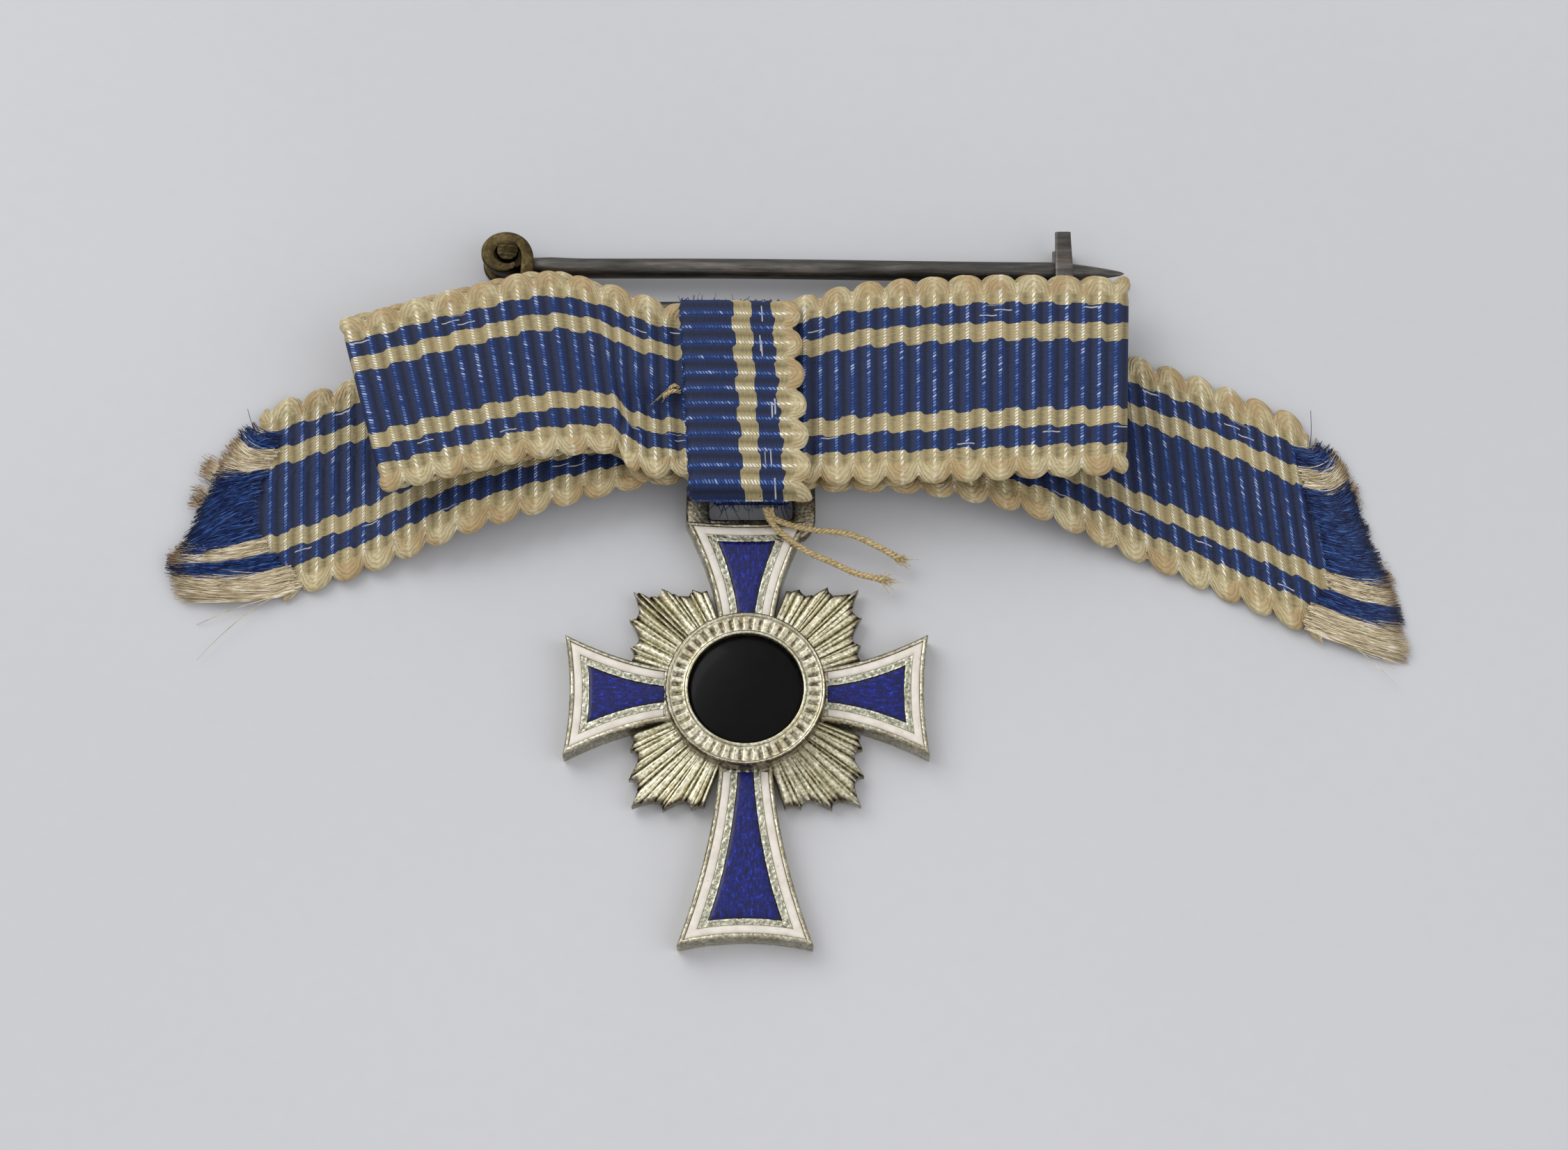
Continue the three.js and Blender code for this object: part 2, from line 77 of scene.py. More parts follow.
mm = 0.001
random = np.random.default_rng(11)
cross_x, cross_y = -1.95, -5.44
disc_low, disc_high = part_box("medallion_disc")
shift = np.array([
    (disc_low.x + disc_high.x) / 2 / mm - cross_x,
    (disc_low.y + disc_high.y) / 2 / mm - cross_y,
    0.0,
])

# ---- Camera -------------------------------------------------------------------------------

camera_distance = 165
camera_elevation = math.radians(69.4)
camera_target = Vector((-0.225 + shift[0], 0.756 + shift[1], 0)) * mm

camera = bpy.data.objects.new("camera", bpy.data.cameras.new("camera"))
bpy.context.scene.collection.objects.link(camera)
back = Vector((0, -math.cos(camera_elevation), math.sin(camera_elevation)))
camera.location = camera_target + back * camera_distance * mm
camera.rotation_euler = (-back).to_track_quat("-Z", "Y").to_euler()
camera.data.lens = 82
camera.data.sensor_width = 36
camera.data.clip_start = 0.01
camera.data.clip_end = 10
bpy.context.scene.camera = camera
bpy.context.scene.view_settings.view_transform = "Standard"


# ---- Shader helpers -----------------------------------------------------------------------

def colour(red, green, blue):
    """A display colour of 0 to 255 as linear RGBA."""
    parts = [c / 255 for c in (red, green, blue)]
    linear = [c / 12.92 if c <= 0.04045 else ((c + 0.055) / 1.055) ** 2.4 for c in parts]
    return (*linear, 1.0)


class Shader:
    """A material's nodes, written as expressions. Each call gives the new node's output."""

    def __init__(self, name, **uniform):
        self.material = bpy.data.materials.new(name)
        self.material.use_nodes = True
        self.tree = self.material.node_tree
        self.surface = self.tree.nodes["Principled BSDF"]
        for socket, value in uniform.items():
            self.surface.inputs[socket.replace("_", " ")].default_value = value

    def put(self, socket, value):
        if isinstance(value, bpy.types.NodeSocket):
            self.tree.links.new(value, socket)
        else:
            socket.default_value = value

    def node(self, kind, inputs, out=0, **settings):
        made = self.tree.nodes.new(kind)
        for key, value in settings.items():
            setattr(made, key, value)
        for key, value in inputs.items():
            self.put(made.inputs[key], value)
        return made.outputs[out]

    def sum(self, operation, a, b=0.0, c=0.0):
        return self.node("ShaderNodeMath", {0: a, 1: b, 2: c}, operation=operation)

    def times(self, a, b):
        return self.sum("MULTIPLY", a, b)

    def plus(self, a, b):
        return self.sum("ADD", a, b)

    def step(self, value, low, high):
        """0 below low, 1 above high, smooth between. Low may be the larger one."""
        return self.node("ShaderNodeMapRange", {0: value, 1: low, 2: high, 3: 0.0, 4: 1.0},
                         interpolation_type="SMOOTHSTEP")

    def spread(self, value, low, high):
        """0 to 1 made low to high."""
        return self.node("ShaderNodeMapRange", {0: value, 1: 0.0, 2: 1.0, 3: low, 4: high})

    def mix(self, share, a, b, blend="MIX"):
        return self.node("ShaderNodeMix", {0: share, 6: a, 7: b}, out=2,
                         data_type="RGBA", blend_type=blend)

    def blend(self, share, a, b):
        """A number between a and b."""
        return self.plus(a, self.times(share, self.sum("SUBTRACT", b, a)))

    def ramp(self, value, stops, interpolation="LINEAR"):
        made = self.tree.nodes.new("ShaderNodeValToRGB")
        made.color_ramp.interpolation = interpolation
        elements = made.color_ramp.elements
        while len(elements) < len(stops):
            elements.new(1.0)
        for element, (place, shade) in zip(elements, stops):
            element.position = place
            element.color = shade
        self.put(made.inputs[0], value)
        return made.outputs[0]

    def vector(self, x, y, z=0.0):
        return self.node("ShaderNodeCombineXYZ", {0: x, 1: y, 2: z})

    def split(self, value):
        made = self.tree.nodes.new("ShaderNodeSeparateXYZ")
        self.put(made.inputs[0], value)
        return made.outputs

    def attribute(self, name, out=1):
        return self.node("ShaderNodeAttribute", {}, out=out, attribute_name=name)

    def place(self):
        """The point in the drawing's millimetres."""
        position = self.node("ShaderNodeNewGeometry", {})
        return self.node("ShaderNodeVectorMath", {0: self.rest(position), 3: 1 / mm}, operation="SCALE")

    def rest(self, position):
        """Object space, so that a pattern stays on its piece as the piece moves."""
        return self.node("ShaderNodeTexCoord", {}, out=3)

    def noise(self, vector, scale, detail=2.0, roughness=0.5, out=0):
        return self.node("ShaderNodeTexNoise",
                         {"Vector": vector, "Scale": scale, "Detail": detail, "Roughness": roughness},
                         out=out)

    def cells(self, vector, scale, feature="F1", out=0):
        return self.node("ShaderNodeTexVoronoi", {"Vector": vector, "Scale": scale}, out=out,
                         feature=feature)

    def bump(self, height, distance_m, strength=1.0):
        return self.node("ShaderNodeBump", {"Height": height, "Distance": distance_m,
                                            "Strength": strength})

    def done(self, base=None, roughness=None, normal=None, coat_normal=None):
        sockets = self.surface.inputs
        for name, value in (("Base Color", base), ("Roughness", roughness),
                            ("Normal", normal), ("Coat Normal", coat_normal)):
            if value is not None:
                self.put(sockets[name], value)
        return self.material


# ---- Mesh helpers -------------------------------------------------------------------------

def mesh_object(name, points, faces, material, attributes=None, sharp_above=50):
    """A mesh from drawing millimetres. attributes is {name: an array of numbers or of 3-vectors}."""
    mesh = bpy.data.meshes.new(name)
    mesh.from_pydata(((np.asarray(points) + shift) * mm).tolist(), [], faces)
    for key, values in (attributes or {}).items():
        values = np.asarray(values, np.float32)
        kind, field = ("FLOAT_VECTOR", "vector") if values.ndim == 2 else ("FLOAT", "value")
        mesh.attributes.new(key, kind, "POINT").data.foreach_set(field, values.ravel())
    mesh.materials.append(material)
    mesh.update()
    mesh.shade_smooth()
    mesh.set_sharp_from_angle(angle=math.radians(sharp_above))
    made = bpy.data.objects.new(name, mesh)
    bpy.context.scene.collection.objects.link(made)
    return made


def quads(rows, columns, around=False, start=0):
    """Faces of a grid of points numbered row by row; around joins the last column to the first."""
    found = []
    for i in range(rows - 1):
        for j in range(columns if around else columns - 1):
            right = (j + 1) % columns
            low, high = start + i * columns, start + (i + 1) * columns
            found.append((low + j, low + right, high + right, high + j))
    return found


class Parts:
    """Several closed shells that become one mesh."""

    def __init__(self):
        self.points, self.faces, self.attributes, self.count = [], [], {}, 0

    def add(self, points, faces, **attributes):
        points = np.asarray(points, float).reshape(-1, 3)
        self.faces += [tuple(k + self.count for k in face) for face in faces]
        self.points.append(points)
        for key, values in attributes.items():
            self.attributes.setdefault(key, []).append(np.asarray(values, float))
        self.count += len(points)

    def make(self, name, material, sharp_above=50):
        joined = {key: np.concatenate(values) for key, values in self.attributes.items()}
        return mesh_object(name, np.concatenate(self.points), self.faces, material, joined, sharp_above)


def smooth(value, low, high):
    share = np.clip((np.asarray(value, float) - low) / (high - low), 0, 1)
    return share * share * (3 - 2 * share)


class Route:
    """A smooth curve through points, read by distance along it."""

    def __init__(self, points, count=500):
        p = np.array(points, float)
        chord = np.concatenate([[0], np.cumsum(np.linalg.norm(np.diff(p, axis=0), axis=1))])
        slope = np.gradient(p, chord, axis=0)
        t = np.linspace(0, chord[-1], count)
        i = np.clip(np.searchsorted(chord, t, side="right") - 1, 0, len(p) - 2)
        gap = (chord[i + 1] - chord[i])[:, None]
        s = ((t - chord[i]) / gap[:, 0])[:, None]
        self.points = ((2 * s**3 - 3 * s**2 + 1) * p[i] + (s**3 - 2 * s**2 + s) * gap * slope[i]
                       + (3 * s**2 - 2 * s**3) * p[i + 1] + (s**3 - s**2) * gap * slope[i + 1])
        steps = np.linalg.norm(np.diff(self.points, axis=0), axis=1)
        self.reach = np.concatenate([[0], np.cumsum(steps)])
        self.length = self.reach[-1]
        self.along = np.gradient(self.points, self.reach, axis=0)

    def read(self, table, distance):
        return np.stack([np.interp(distance, self.reach, table[:, k])
                         for k in range(table.shape[1])], -1)

    def at(self, distance):
        """The point, carried on straight beyond either end."""
        distance = np.asarray(distance, float)
        inside = np.clip(distance, 0, self.length)
        return self.read(self.points, inside) + (distance - inside)[..., None] * self.tangent(inside)

    def tangent(self, distance):
        t = self.read(self.along, distance)
        return t / np.linalg.norm(t, axis=-1, keepdims=True)


def tube(parts, path, radii, sides=8, spin=0.0, **attributes):
    """A closed tube along points; each attribute is one number or one per point of the path."""
    path = np.asarray(path, float)
    radii = np.broadcast_to(radii, len(path))
    along = np.gradient(path, axis=0)
    along /= np.linalg.norm(along, axis=1, keepdims=True)
    side = np.cross(along[0], (0.31, 0.17, 0.93))
    side /= np.linalg.norm(side)
    angle = np.linspace(0, 2 * math.pi, sides, endpoint=False) + spin
    rings = []
    for point, forward, radius in zip(path, along, radii):
        side = side - forward * (side @ forward)
        side /= np.linalg.norm(side)
        up = np.cross(forward, side)
        rings.append(point + radius * (np.cos(angle)[:, None] * side + np.sin(angle)[:, None] * up))
    faces = quads(len(path), sides, around=True)
    last = (len(path) - 1) * sides
    faces.append(tuple(range(sides - 1, -1, -1)))
    faces.append(tuple(range(last, last + sides)))
    spreads = {key: np.repeat(np.broadcast_to(value, len(path)), sides)
               for key, value in attributes.items() if np.ndim(value) < 2}
    for key, value in attributes.items():
        if np.ndim(value) == 2:
            spreads[key] = np.repeat(value, sides, axis=0)
    parts.add(np.concatenate(rings), faces, **spreads)


# ---- Ribbon -------------------------------------------------------------------------------

ribbon_width = 10.0
rib_pitch = 0.76
lobe_reach = 0.62
stripes = [0.0, 0.106, 0.209, 0.306, 0.694, 0.791, 0.894]

tan = colour(148, 118, 76)
# Each ramp runs from painted shade in the grooves between ribs to a painted highlight on the crests.
blue_shades = [(0.0, colour(5, 13, 32)), (0.3, colour(15, 34, 76)), (0.62, colour(32, 66, 132)),
               (1.0, colour(128, 156, 208))]
cream_shades = [(0.0, colour(108, 96, 66)), (0.35, colour(160, 148, 112)), (0.7, colour(198, 188, 154)),
                (1.0, colour(240, 234, 218))]


def stripe_mix(shader, across, blue, cream):
    """Blue and cream in the order of the stripes; across is in mm from the ribbon's middle."""
    share = shader.plus(shader.times(across, 1 / ribbon_width), 0.5)
    black, white = (0, 0, 0, 1), (1, 1, 1, 1)
    stops = [(place, black if k % 2 == 0 else white) for k, place in enumerate(stripes)]
    is_blue = shader.ramp(share, stops, "CONSTANT")
    return shader.mix(is_blue, cream, blue)


def ribbon_material():
    s = Shader("ribbed_ribbon", Specular_IOR_Level=0.3)
    weave = s.attribute("weave")
    u, v, _ = s.split(weave)
    side = s.sum("ABSOLUTE", v)
    rib = s.sum("ABSOLUTE", s.sum("COSINE", s.times(u, math.pi / rib_pitch)))
    fibres = s.noise(s.vector(s.times(u, 3.0), s.times(v, 16.0)), 1.0, detail=3)

    # A twisted line of stitches runs along each rib's crest; the bright dashes they add to the colour are a painted
    # highlight.
    stitch_pitch = 0.17
    slanted = s.plus(v, s.times(u, 0.7))
    twist = s.sum("ABSOLUTE", s.sum("SINE", s.times(slanted, math.pi / stitch_pitch)))
    rib_number = s.sum("FLOOR", s.plus(s.times(u, 1 / rib_pitch), 0.5))
    stitch_number = s.sum("FLOOR", s.times(slanted, 1 / stitch_pitch))
    chance = s.node("ShaderNodeTexWhiteNoise", {"Vector": s.vector(rib_number, stitch_number)},
                    noise_dimensions="2D")
    gleam = s.step(s.noise(s.vector(rib_number, s.times(v, 0.5)), 0.9), 0.35, 0.65)
    crest = s.step(rib, 0.9, 0.99)
    stitch_highlights = s.times(s.times(crest, s.spread(s.step(twist, 0.15, 0.8), 0.2, 1.0)),
                       s.times(s.spread(chance, 0.45, 1.0), s.spread(gleam, 0.75, 1.1)))

    # The edge threads turn round in a fat knob over every second rib.
    in_knob = s.step(side, 4.22, 4.4)
    knob_u = s.plus(s.times(s.sum("FRACT", s.times(u, 0.5 / rib_pitch)), 2 * rib_pitch), -rib_pitch)
    knob_v = s.plus(side, -4.2)
    wound = s.sum("SQRT", s.plus(s.times(knob_u, knob_u), s.times(knob_v, knob_v)))
    wound = s.plus(wound, s.times(s.noise(weave, 2.6, detail=2), 0.34))
    arcs = s.sum("ABSOLUTE", s.sum("SINE", s.times(wound, math.pi / 0.19)))
    # The ribs' cosine paints the grooves dark and the crests bright, a painted shade and highlight over the real
    # relief; the fibre noise adds real tone.
    rib_shade_and_highlight = s.plus(s.spread(s.sum("POWER", rib, 1.1), 0.04, 0.34), s.times(stitch_highlights, 0.6))
    knob_shine = s.plus(s.times(arcs, 0.12), 0.4)
    tone_and_painted_light = s.plus(s.blend(in_knob, rib_shade_and_highlight, knob_shine), s.times(s.plus(fibres, -0.5), 0.55))
    blue = s.ramp(tone_and_painted_light, blue_shades)
    cream = s.ramp(s.plus(tone_and_painted_light, s.times(stitch_highlights, 0.3)), cream_shades)

    age = s.noise(weave, 0.22, detail=3)
    cream = s.mix(s.times(s.step(age, 0.45, 0.75), 0.4), cream, colour(178, 158, 112))
    soiled = s.times(in_knob, s.spread(s.step(s.noise(weave, 0.75, detail=2), 0.42, 0.6), 0.1, 1.0))
    cream = s.mix(s.times(soiled, 0.62), cream, tan)

    # Every second block of a narrow stripe bulges.
    wobble = s.times(s.plus(s.noise(s.vector(s.times(u, 1.4), s.times(v, 0.6)), 1.0), -0.5), 0.16)
    block = s.step(s.sum("COSINE", s.plus(s.times(u, math.pi / rib_pitch), -0.8)), -0.4, 0.4)
    bulge = s.times(s.plus(block, -0.5), 0.22)
    from_stripe = s.sum("MINIMUM", s.sum("MAXIMUM", s.plus(side, -3.42), -0.8), 0.5)
    across = s.plus(s.plus(v, wobble), s.times(s.sum("SIGN", v), s.times(s.times(bulge, from_stripe), -1.0)))
    base = stripe_mix(s, across, blue, cream)

    # Single pale threads float over the narrow stripes.
    fine_number = s.sum("FLOOR", s.times(v, 1 / 0.06))
    float_number = s.sum("FLOOR", s.plus(s.times(u, 1.25), s.times(fine_number, 0.37)))
    float_chance = s.node("ShaderNodeTexWhiteNoise", {"Vector": s.vector(float_number, fine_number)},
                          noise_dimensions="2D")
    in_narrow = s.step(s.sum("ABSOLUTE", s.plus(side, -3.42)), 0.48, 0.42)
    pale = s.times(s.step(float_chance, 0.975, 0.98), in_narrow)
    # glint is a painted highlight: bright dashes on chosen rib crests, mixed to the same pale colour as the floating
    # threads.
    glint = s.times(s.times(s.step(chance, 0.8, 0.86), crest), s.times(gleam, s.step(twist, 0.4, 0.8)))
    base = s.mix(s.times(s.sum("MAXIMUM", pale, s.times(glint, 1.0)), 0.62), base, colour(196, 200, 212))
    height = s.plus(s.blend(in_knob, s.times(s.times(twist, crest), 0.9), s.times(arcs, 0.5)), s.times(fibres, 0.5))
    return s.done(base, s.spread(fibres, 0.5, 0.72), s.bump(height, 0.00008, 0.9))


def fibre_material():
    s = Shader("loose_fibres", Roughness=0.45, Specular_IOR_Level=0.3)
    u, v, fray_and_shade = s.split(s.attribute("weave"))
    # This noise varies each strand's tone, and its lightest streaks are painted sheen highlights.
    streaks_and_sheen = s.noise(s.vector(s.times(u, 1.2), s.times(v, 22.0)), 1.0, detail=2)
    blue = s.ramp(streaks_and_sheen, [(0.34, colour(5, 14, 42)), (0.5, colour(13, 38, 94)), (0.66, colour(66, 106, 172))])
    cream = s.ramp(streaks_and_sheen, [(0.34, colour(146, 128, 96)), (0.5, colour(196, 182, 150)),
                            (0.66, colour(236, 228, 210))])
    base = stripe_mix(s, v, blue, cream)
    # The dark mix is real soiling at the fringe's tips, and painted shade on the fibres in the frame's opening.
    dark_tip_and_shade = stripe_mix(s, v, colour(9, 17, 36), colour(112, 84, 50))
    worn_and_shaded = s.times(s.times(s.step(fray_and_shade, 0.7, 1.0), s.spread(streaks_and_sheen, 0.5, 1.3)), s.spread(s.step(v, -4.9, -3.6), 0.35, 1.0))
    return s.done(s.mix(s.sum("MINIMUM", worn_and_shaded, 0.92), base, dark_tip_and_shade))


ribbon_cloth = ribbon_material()
fibre_cloth = fibre_material()


def ribbon(name, place, length, scallops=(1, 1), reach=None, relief=0.13, base=0.085, half_width=5.0,
           weave_shift=0.0, knob_relief=0.25):
    """A grosgrain ribbon as one closed shell. place(u, v) gives its middle surface at u mm along
    it and v mm across it from the middle. scallops says which edges have their woven loops;
    reach(v) is the length at v, where the cut isn't square."""
    edge = np.array([0, 0.012, 0.035, 0.06, 0.085, 0.11, 0.13, 0.15, 0.17, 0.19])
    f = np.unique(np.concatenate([edge - 1, np.linspace(-0.8, 0.8, 33), 1 - edge]))
    rows = int(length / rib_pitch * 8) + 1
    t = np.linspace(0, 1, rows)[:, None]
    u = t * (reach(f * half_width)[None, :] if reach else np.full((1, len(f)), length))
    lobe_share = (u / (2 * rib_pitch)) % 1
    lobe = np.sqrt(np.clip(1 - (2 * lobe_share - 1) ** 2, 0, 1))
    side = np.where(f < 0, scallops[0], scallops[1])[None, :]
    near_edge = smooth(np.abs(f), 0.74, 0.98)[None, :] * side
    v = f[None, :] * (half_width - lobe_reach * side)
    v = v + np.sign(f)[None, :] * lobe_reach * near_edge * lobe
    crest = np.abs(np.cos(math.pi * u / rib_pitch)) ** 0.7
    full = base + relief * crest
    knob = 0.05 + knob_relief * lobe
    fat = smooth(np.abs(f), 0.86, 0.91)[None, :] * side
    pinched = 1 - 0.3 * np.exp(-((np.abs(f) - 0.865) / 0.022) ** 2)[None, :] * side
    round_edge = np.sqrt(np.clip(1 - (np.clip(np.abs(f) - 0.88, 0, 1) / 0.12) ** 2, 0, 1))[None, :]
    half = (full * (1 - fat) + knob * fat) * np.maximum(round_edge, 0.02) * pinched
    if reach:
        half = half * (0.22 + 0.78 * smooth(1 - t, 0.0, 0.05))
    middle = place(u, v)
    step = 0.02
    along = place(u + step, v) - place(u - step, v)
    across = place(u, v + step) - place(u, v - step)
    normal = np.cross(along, across)
    normal /= np.maximum(np.linalg.norm(normal, axis=-1, keepdims=True), 1e-12)
    top = middle + normal * half[..., None]
    under = middle - normal * half[..., None]
    columns = len(f)
    section = np.concatenate([top, under[:, ::-1]], axis=1)
    weave = np.stack([u, f[None, :] * half_width + weave_shift + 0 * u, 0 * u], -1)
    weave = np.concatenate([weave, weave[:, ::-1]], axis=1)
    width = 2 * columns
    faces = [face[::-1] for face in quads(rows, width, around=True)]
    last = (rows - 1) * width
    for j in range(columns - 1):
        faces.append((j, j + 1, width - 2 - j, width - 1 - j))
        faces.append((last + j + 1, last + j, last + width - 1 - j, last + width - 2 - j))
    return mesh_object(name, section.reshape(-1, 3), faces, ribbon_cloth,
                       {"weave": weave.reshape(-1, 3)}, sharp_above=75)


def between(low_edge, high_edge, share, v):
    """A point across from one edge line to the other."""
    low, high = low_edge.at(share * low_edge.length), high_edge.at(share * high_edge.length)
    part = (v / ribbon_width + 0.5)[..., None]
    return low + (high - low) * part


def make_loop(name, low_points, high_points, side, ripple):
    """Out along the back layer, around the fold, and home along the front layer."""
    low_edge, high_edge = Route(low_points), Route(high_points)
    back_z, front_z = 2.25, 3.1
    bend = (front_z - back_z) / 2
    run = (low_edge.length + high_edge.length) / 2 - bend
    total = 2 * run + math.pi * bend

    def place(u, v):
        u, v = np.broadcast_arrays(np.asarray(u, float), np.asarray(v, float) * side)
        turned = np.clip((u - run) / bend, 0, math.pi)
        away = np.where(u <= run, u, np.where(u >= total - run, total - u, run))
        share = np.clip(away, -1, None) / (run + bend)
        plan = between(low_edge, high_edge, share, v)
        out = low_edge.tangent(low_edge.length)
        plan = plan + (bend * np.sin(turned))[..., None] * out
        layer = (1 - np.cos(turned)) / 2
        plan[..., 1] += (1 - layer) * 0.42 * smooth(away, 4, 9)
        z = (back_z + front_z) / 2 - bend * np.cos(turned)
        near = 1 - smooth(away, 3.2, 7.5)
        z = z + layer * ripple(away, v) - 0.12 * near * layer
        z = z + 0.05 * np.sin(away * 0.55 + 1) * layer
        return np.concatenate([plan, z[..., None]], -1)

    return ribbon(name, place, total)


def right_ripple(away, v):
    near = 1 - smooth(away, 3, 8)
    return near * (0.10 * np.cos(v * 1.5 + 0.4))


def left_ripple(away, v):
    near = 1 - smooth(away, 3.4, 8.5)
    pucker = np.exp(-((away - 4.3) / 1.3) ** 2 - ((v + 0.9) / 0.75) ** 2)
    ridge = np.exp(-((away - 6.2) / 1.6) ** 2 - ((v + 3.2 - (away - 6.2) * 0.5) / 1.0) ** 2)
    return near * 0.14 * np.cos(v * 1.35 - 0.5) - 0.42 * pucker + 0.30 * ridge


loop_right = make_loop(
    "ribbon_loop_right",
    [(-1.7, 4.2), (1.0, 4.0), (4, 4.0), (8, 4.12), (15.3, 4.5)],
    [(-1.7, 13.0), (0.5, 13.5), (2.9, 14.15), (7, 14.5), (15.75, 14.5)],
    1, right_ripple)
loop_left = make_loop(
    "ribbon_loop_left",
    [(-2.0, 4.5), (-5.2, 4.35), (-6.75, 4.4), (-7.35, 4.8), (-7.75, 5.4), (-9.0, 5.5), (-11.0, 5.3),
     (-14.5, 4.55), (-18.4, 3.6)],
    [(-2.0, 12.9), (-5.4, 13.15), (-7.9, 14.0), (-11.3, 14.8), (-15.2, 13.95), (-20.85, 12.35)],
    1, left_ripple)

tail_high_z, tail_low_z = 1.65, 0.27
# How much longer each stripe of a tail is than its middle line, from the lower edge to the upper.
end_places = [-5.0, -4.2, -3.4, -2.9, -2.0, -1.2, 0.0, 1.2, 2.05, 2.9, 3.5, 4.2, 5.0]


def make_tail(name, low_points, high_points, ends):
    low_edge, high_edge = Route(low_points), Route(high_points)
    length = (low_edge.length + high_edge.length) / 2

    def place(u, v):
        u, v = np.broadcast_arrays(np.asarray(u, float), np.asarray(v, float))
        plan = between(low_edge, high_edge, u / length, v)
        z = tail_low_z + (tail_high_z - tail_low_z) * (1 - smooth(u, 12.5, 19))
        wave = 0.05 * np.sin(u * 0.8) * smooth(u, 12, 16)
        edge_lift = 0.12 * smooth(np.abs(v), 3.5, 5) * smooth(u, 14, 20) * (0.5 + 0.5 * np.sin(u * 1.3 + v))
        return np.concatenate([plan, (z + wave + edge_lift)[..., None]], -1)

    def reach(v):
        return length + np.interp(v, end_places, ends) + 0.07 * np.sin(v * 7.3) + 0.05 * np.sin(v * 17.1)

    return ribbon(name, place, length, reach=reach), place, reach


tail_left, left_place, left_reach = make_tail(
    "ribbon_tail_left",
    [(-2.0, 5.0), (-5.5, 4.66), (-9.35, 3.77), (-15.3, 1.96), (-19.6, 0.56), (-23.6, -0.75)],
    [(-2.0, 12.1), (-5.6, 12.4), (-12, 12.9), (-17, 11.7), (-21, 10.35), (-24.0, 9.35)],
    [-0.4, -0.35, 0.2, 0.7, 1.2, 1.7, 1.7, 1.5, 0.9, 0.6, 0.8, 0.9, 0.6])
tail_right, right_place, right_reach = make_tail(
    "ribbon_tail_right",
    [(-1.65, 4.7), (1.0, 4.31), (5.7, 4.11), (8.8, 3.63), (13.7, 2.1), (19.1, -0.15), (24.3, -2.65)],
    [(-1.65, 12.4), (2, 12.7), (9, 13.3), (16.1, 11.75), (20.1, 10.3), (23.3, 8.85)],
    [0.1, 0.2, 0.7, 1.3, 1.6, 1.7, 1.5, 1.2, 1.1, 1.0, 0.9, 1.1, 0.8])


# The weave pattern is laid out before the knobs narrow the ribbon.
weave_scale = 5.0 / (5.0 - lobe_reach)
fringe_places = [-5.0, -4.2, -2.9, -2.0, -1.2, 0.0, 1.2, 2.05, 2.9, 3.4]


def make_fringe(name, place, reach, count, lengths, sways, under_tufts):
    """Loose warp threads past the cut end. under_tufts are (place across, length, sway) of soiled
    cream threads that come out from beneath."""
    parts = Parts()
    tufts = np.array([-4.5, -3.8, -3.1, -2.5, -1.9, -1.2, -0.4, 0.4, 1.2, 1.9, 2.5, 3.1])

    def strand(v, colour_v, length, bend, low, worn_and_shaded):
        root_u = reach(v) - (0.1 + 0.8 * random.uniform(0, 1) ** 2.2)
        root = place(np.array(root_u), np.array(v))
        behind = place(np.array(root_u - 0.3), np.array(v))
        along = (root - behind) / np.linalg.norm(root - behind)
        cross = place(np.array(root_u), np.array(v + 0.1)) - root
        cross /= np.linalg.norm(cross)
        buried = reach(v) - root_u
        length = length * random.uniform(0.84, 1.02) + buried
        tuft = tufts[np.argmin(np.abs(tufts - v + random.normal(0, 0.25)))]
        pull = (tuft - v) * random.uniform(0.1, 0.75)
        t = np.linspace(0, 1, 9)[:, None]
        path = root + along * t * length + cross * (pull * smooth(t, 0, 1) + bend * t ** 1.8)
        path += cross * 0.05 * np.sin(t * random.uniform(4, 9) + random.uniform(0, 6.28)) * t
        rise = random.uniform(0.0, 0.24) if low == 0 else -random.uniform(0.05, 0.15)
        over_end = 0.13 * np.exp(-((t * length - buried * 0.6) / 0.5) ** 2) * (buried > 0.3)
        path[:, 2:] += rise * (1 - t) + over_end * (1 - low) + 0.2 * random.uniform(0, 1) * np.sin(t * math.pi) * (1 - low)
        path[:, 2] = np.maximum(path[:, 2], 0.05)
        weave = np.stack([t[:, 0] * length, np.full(9, colour_v), np.maximum(t[:, 0], worn_and_shaded)], -1)
        tube(parts, path, random.uniform(0.015, 0.026) * (1 - 0.45 * t[:, 0]), sides=4, weave=weave)

    for _ in range(count):
        v = random.uniform(-4.75, 3.5)
        bend = np.interp(v, fringe_places, sways) + random.normal(0, 0.16)
        strand(v, v * weave_scale, np.interp(v, fringe_places, lengths), bend, 0, 0.0)
    for _ in range(count // 40):
        v = random.uniform(-4.75, 3.5)
        strand(v, v * weave_scale, 0.8 * np.interp(v, fringe_places, lengths), random.normal(0.6, 1.1), 0, 0.0)
    for tuft_v, length, bend in under_tufts:
        for _ in range(110):
            strand(tuft_v + random.normal(0, 0.2), 2.4, length, bend + random.normal(0, 0.12), 1, 0.8)
    return parts.make(name, fibre_cloth)


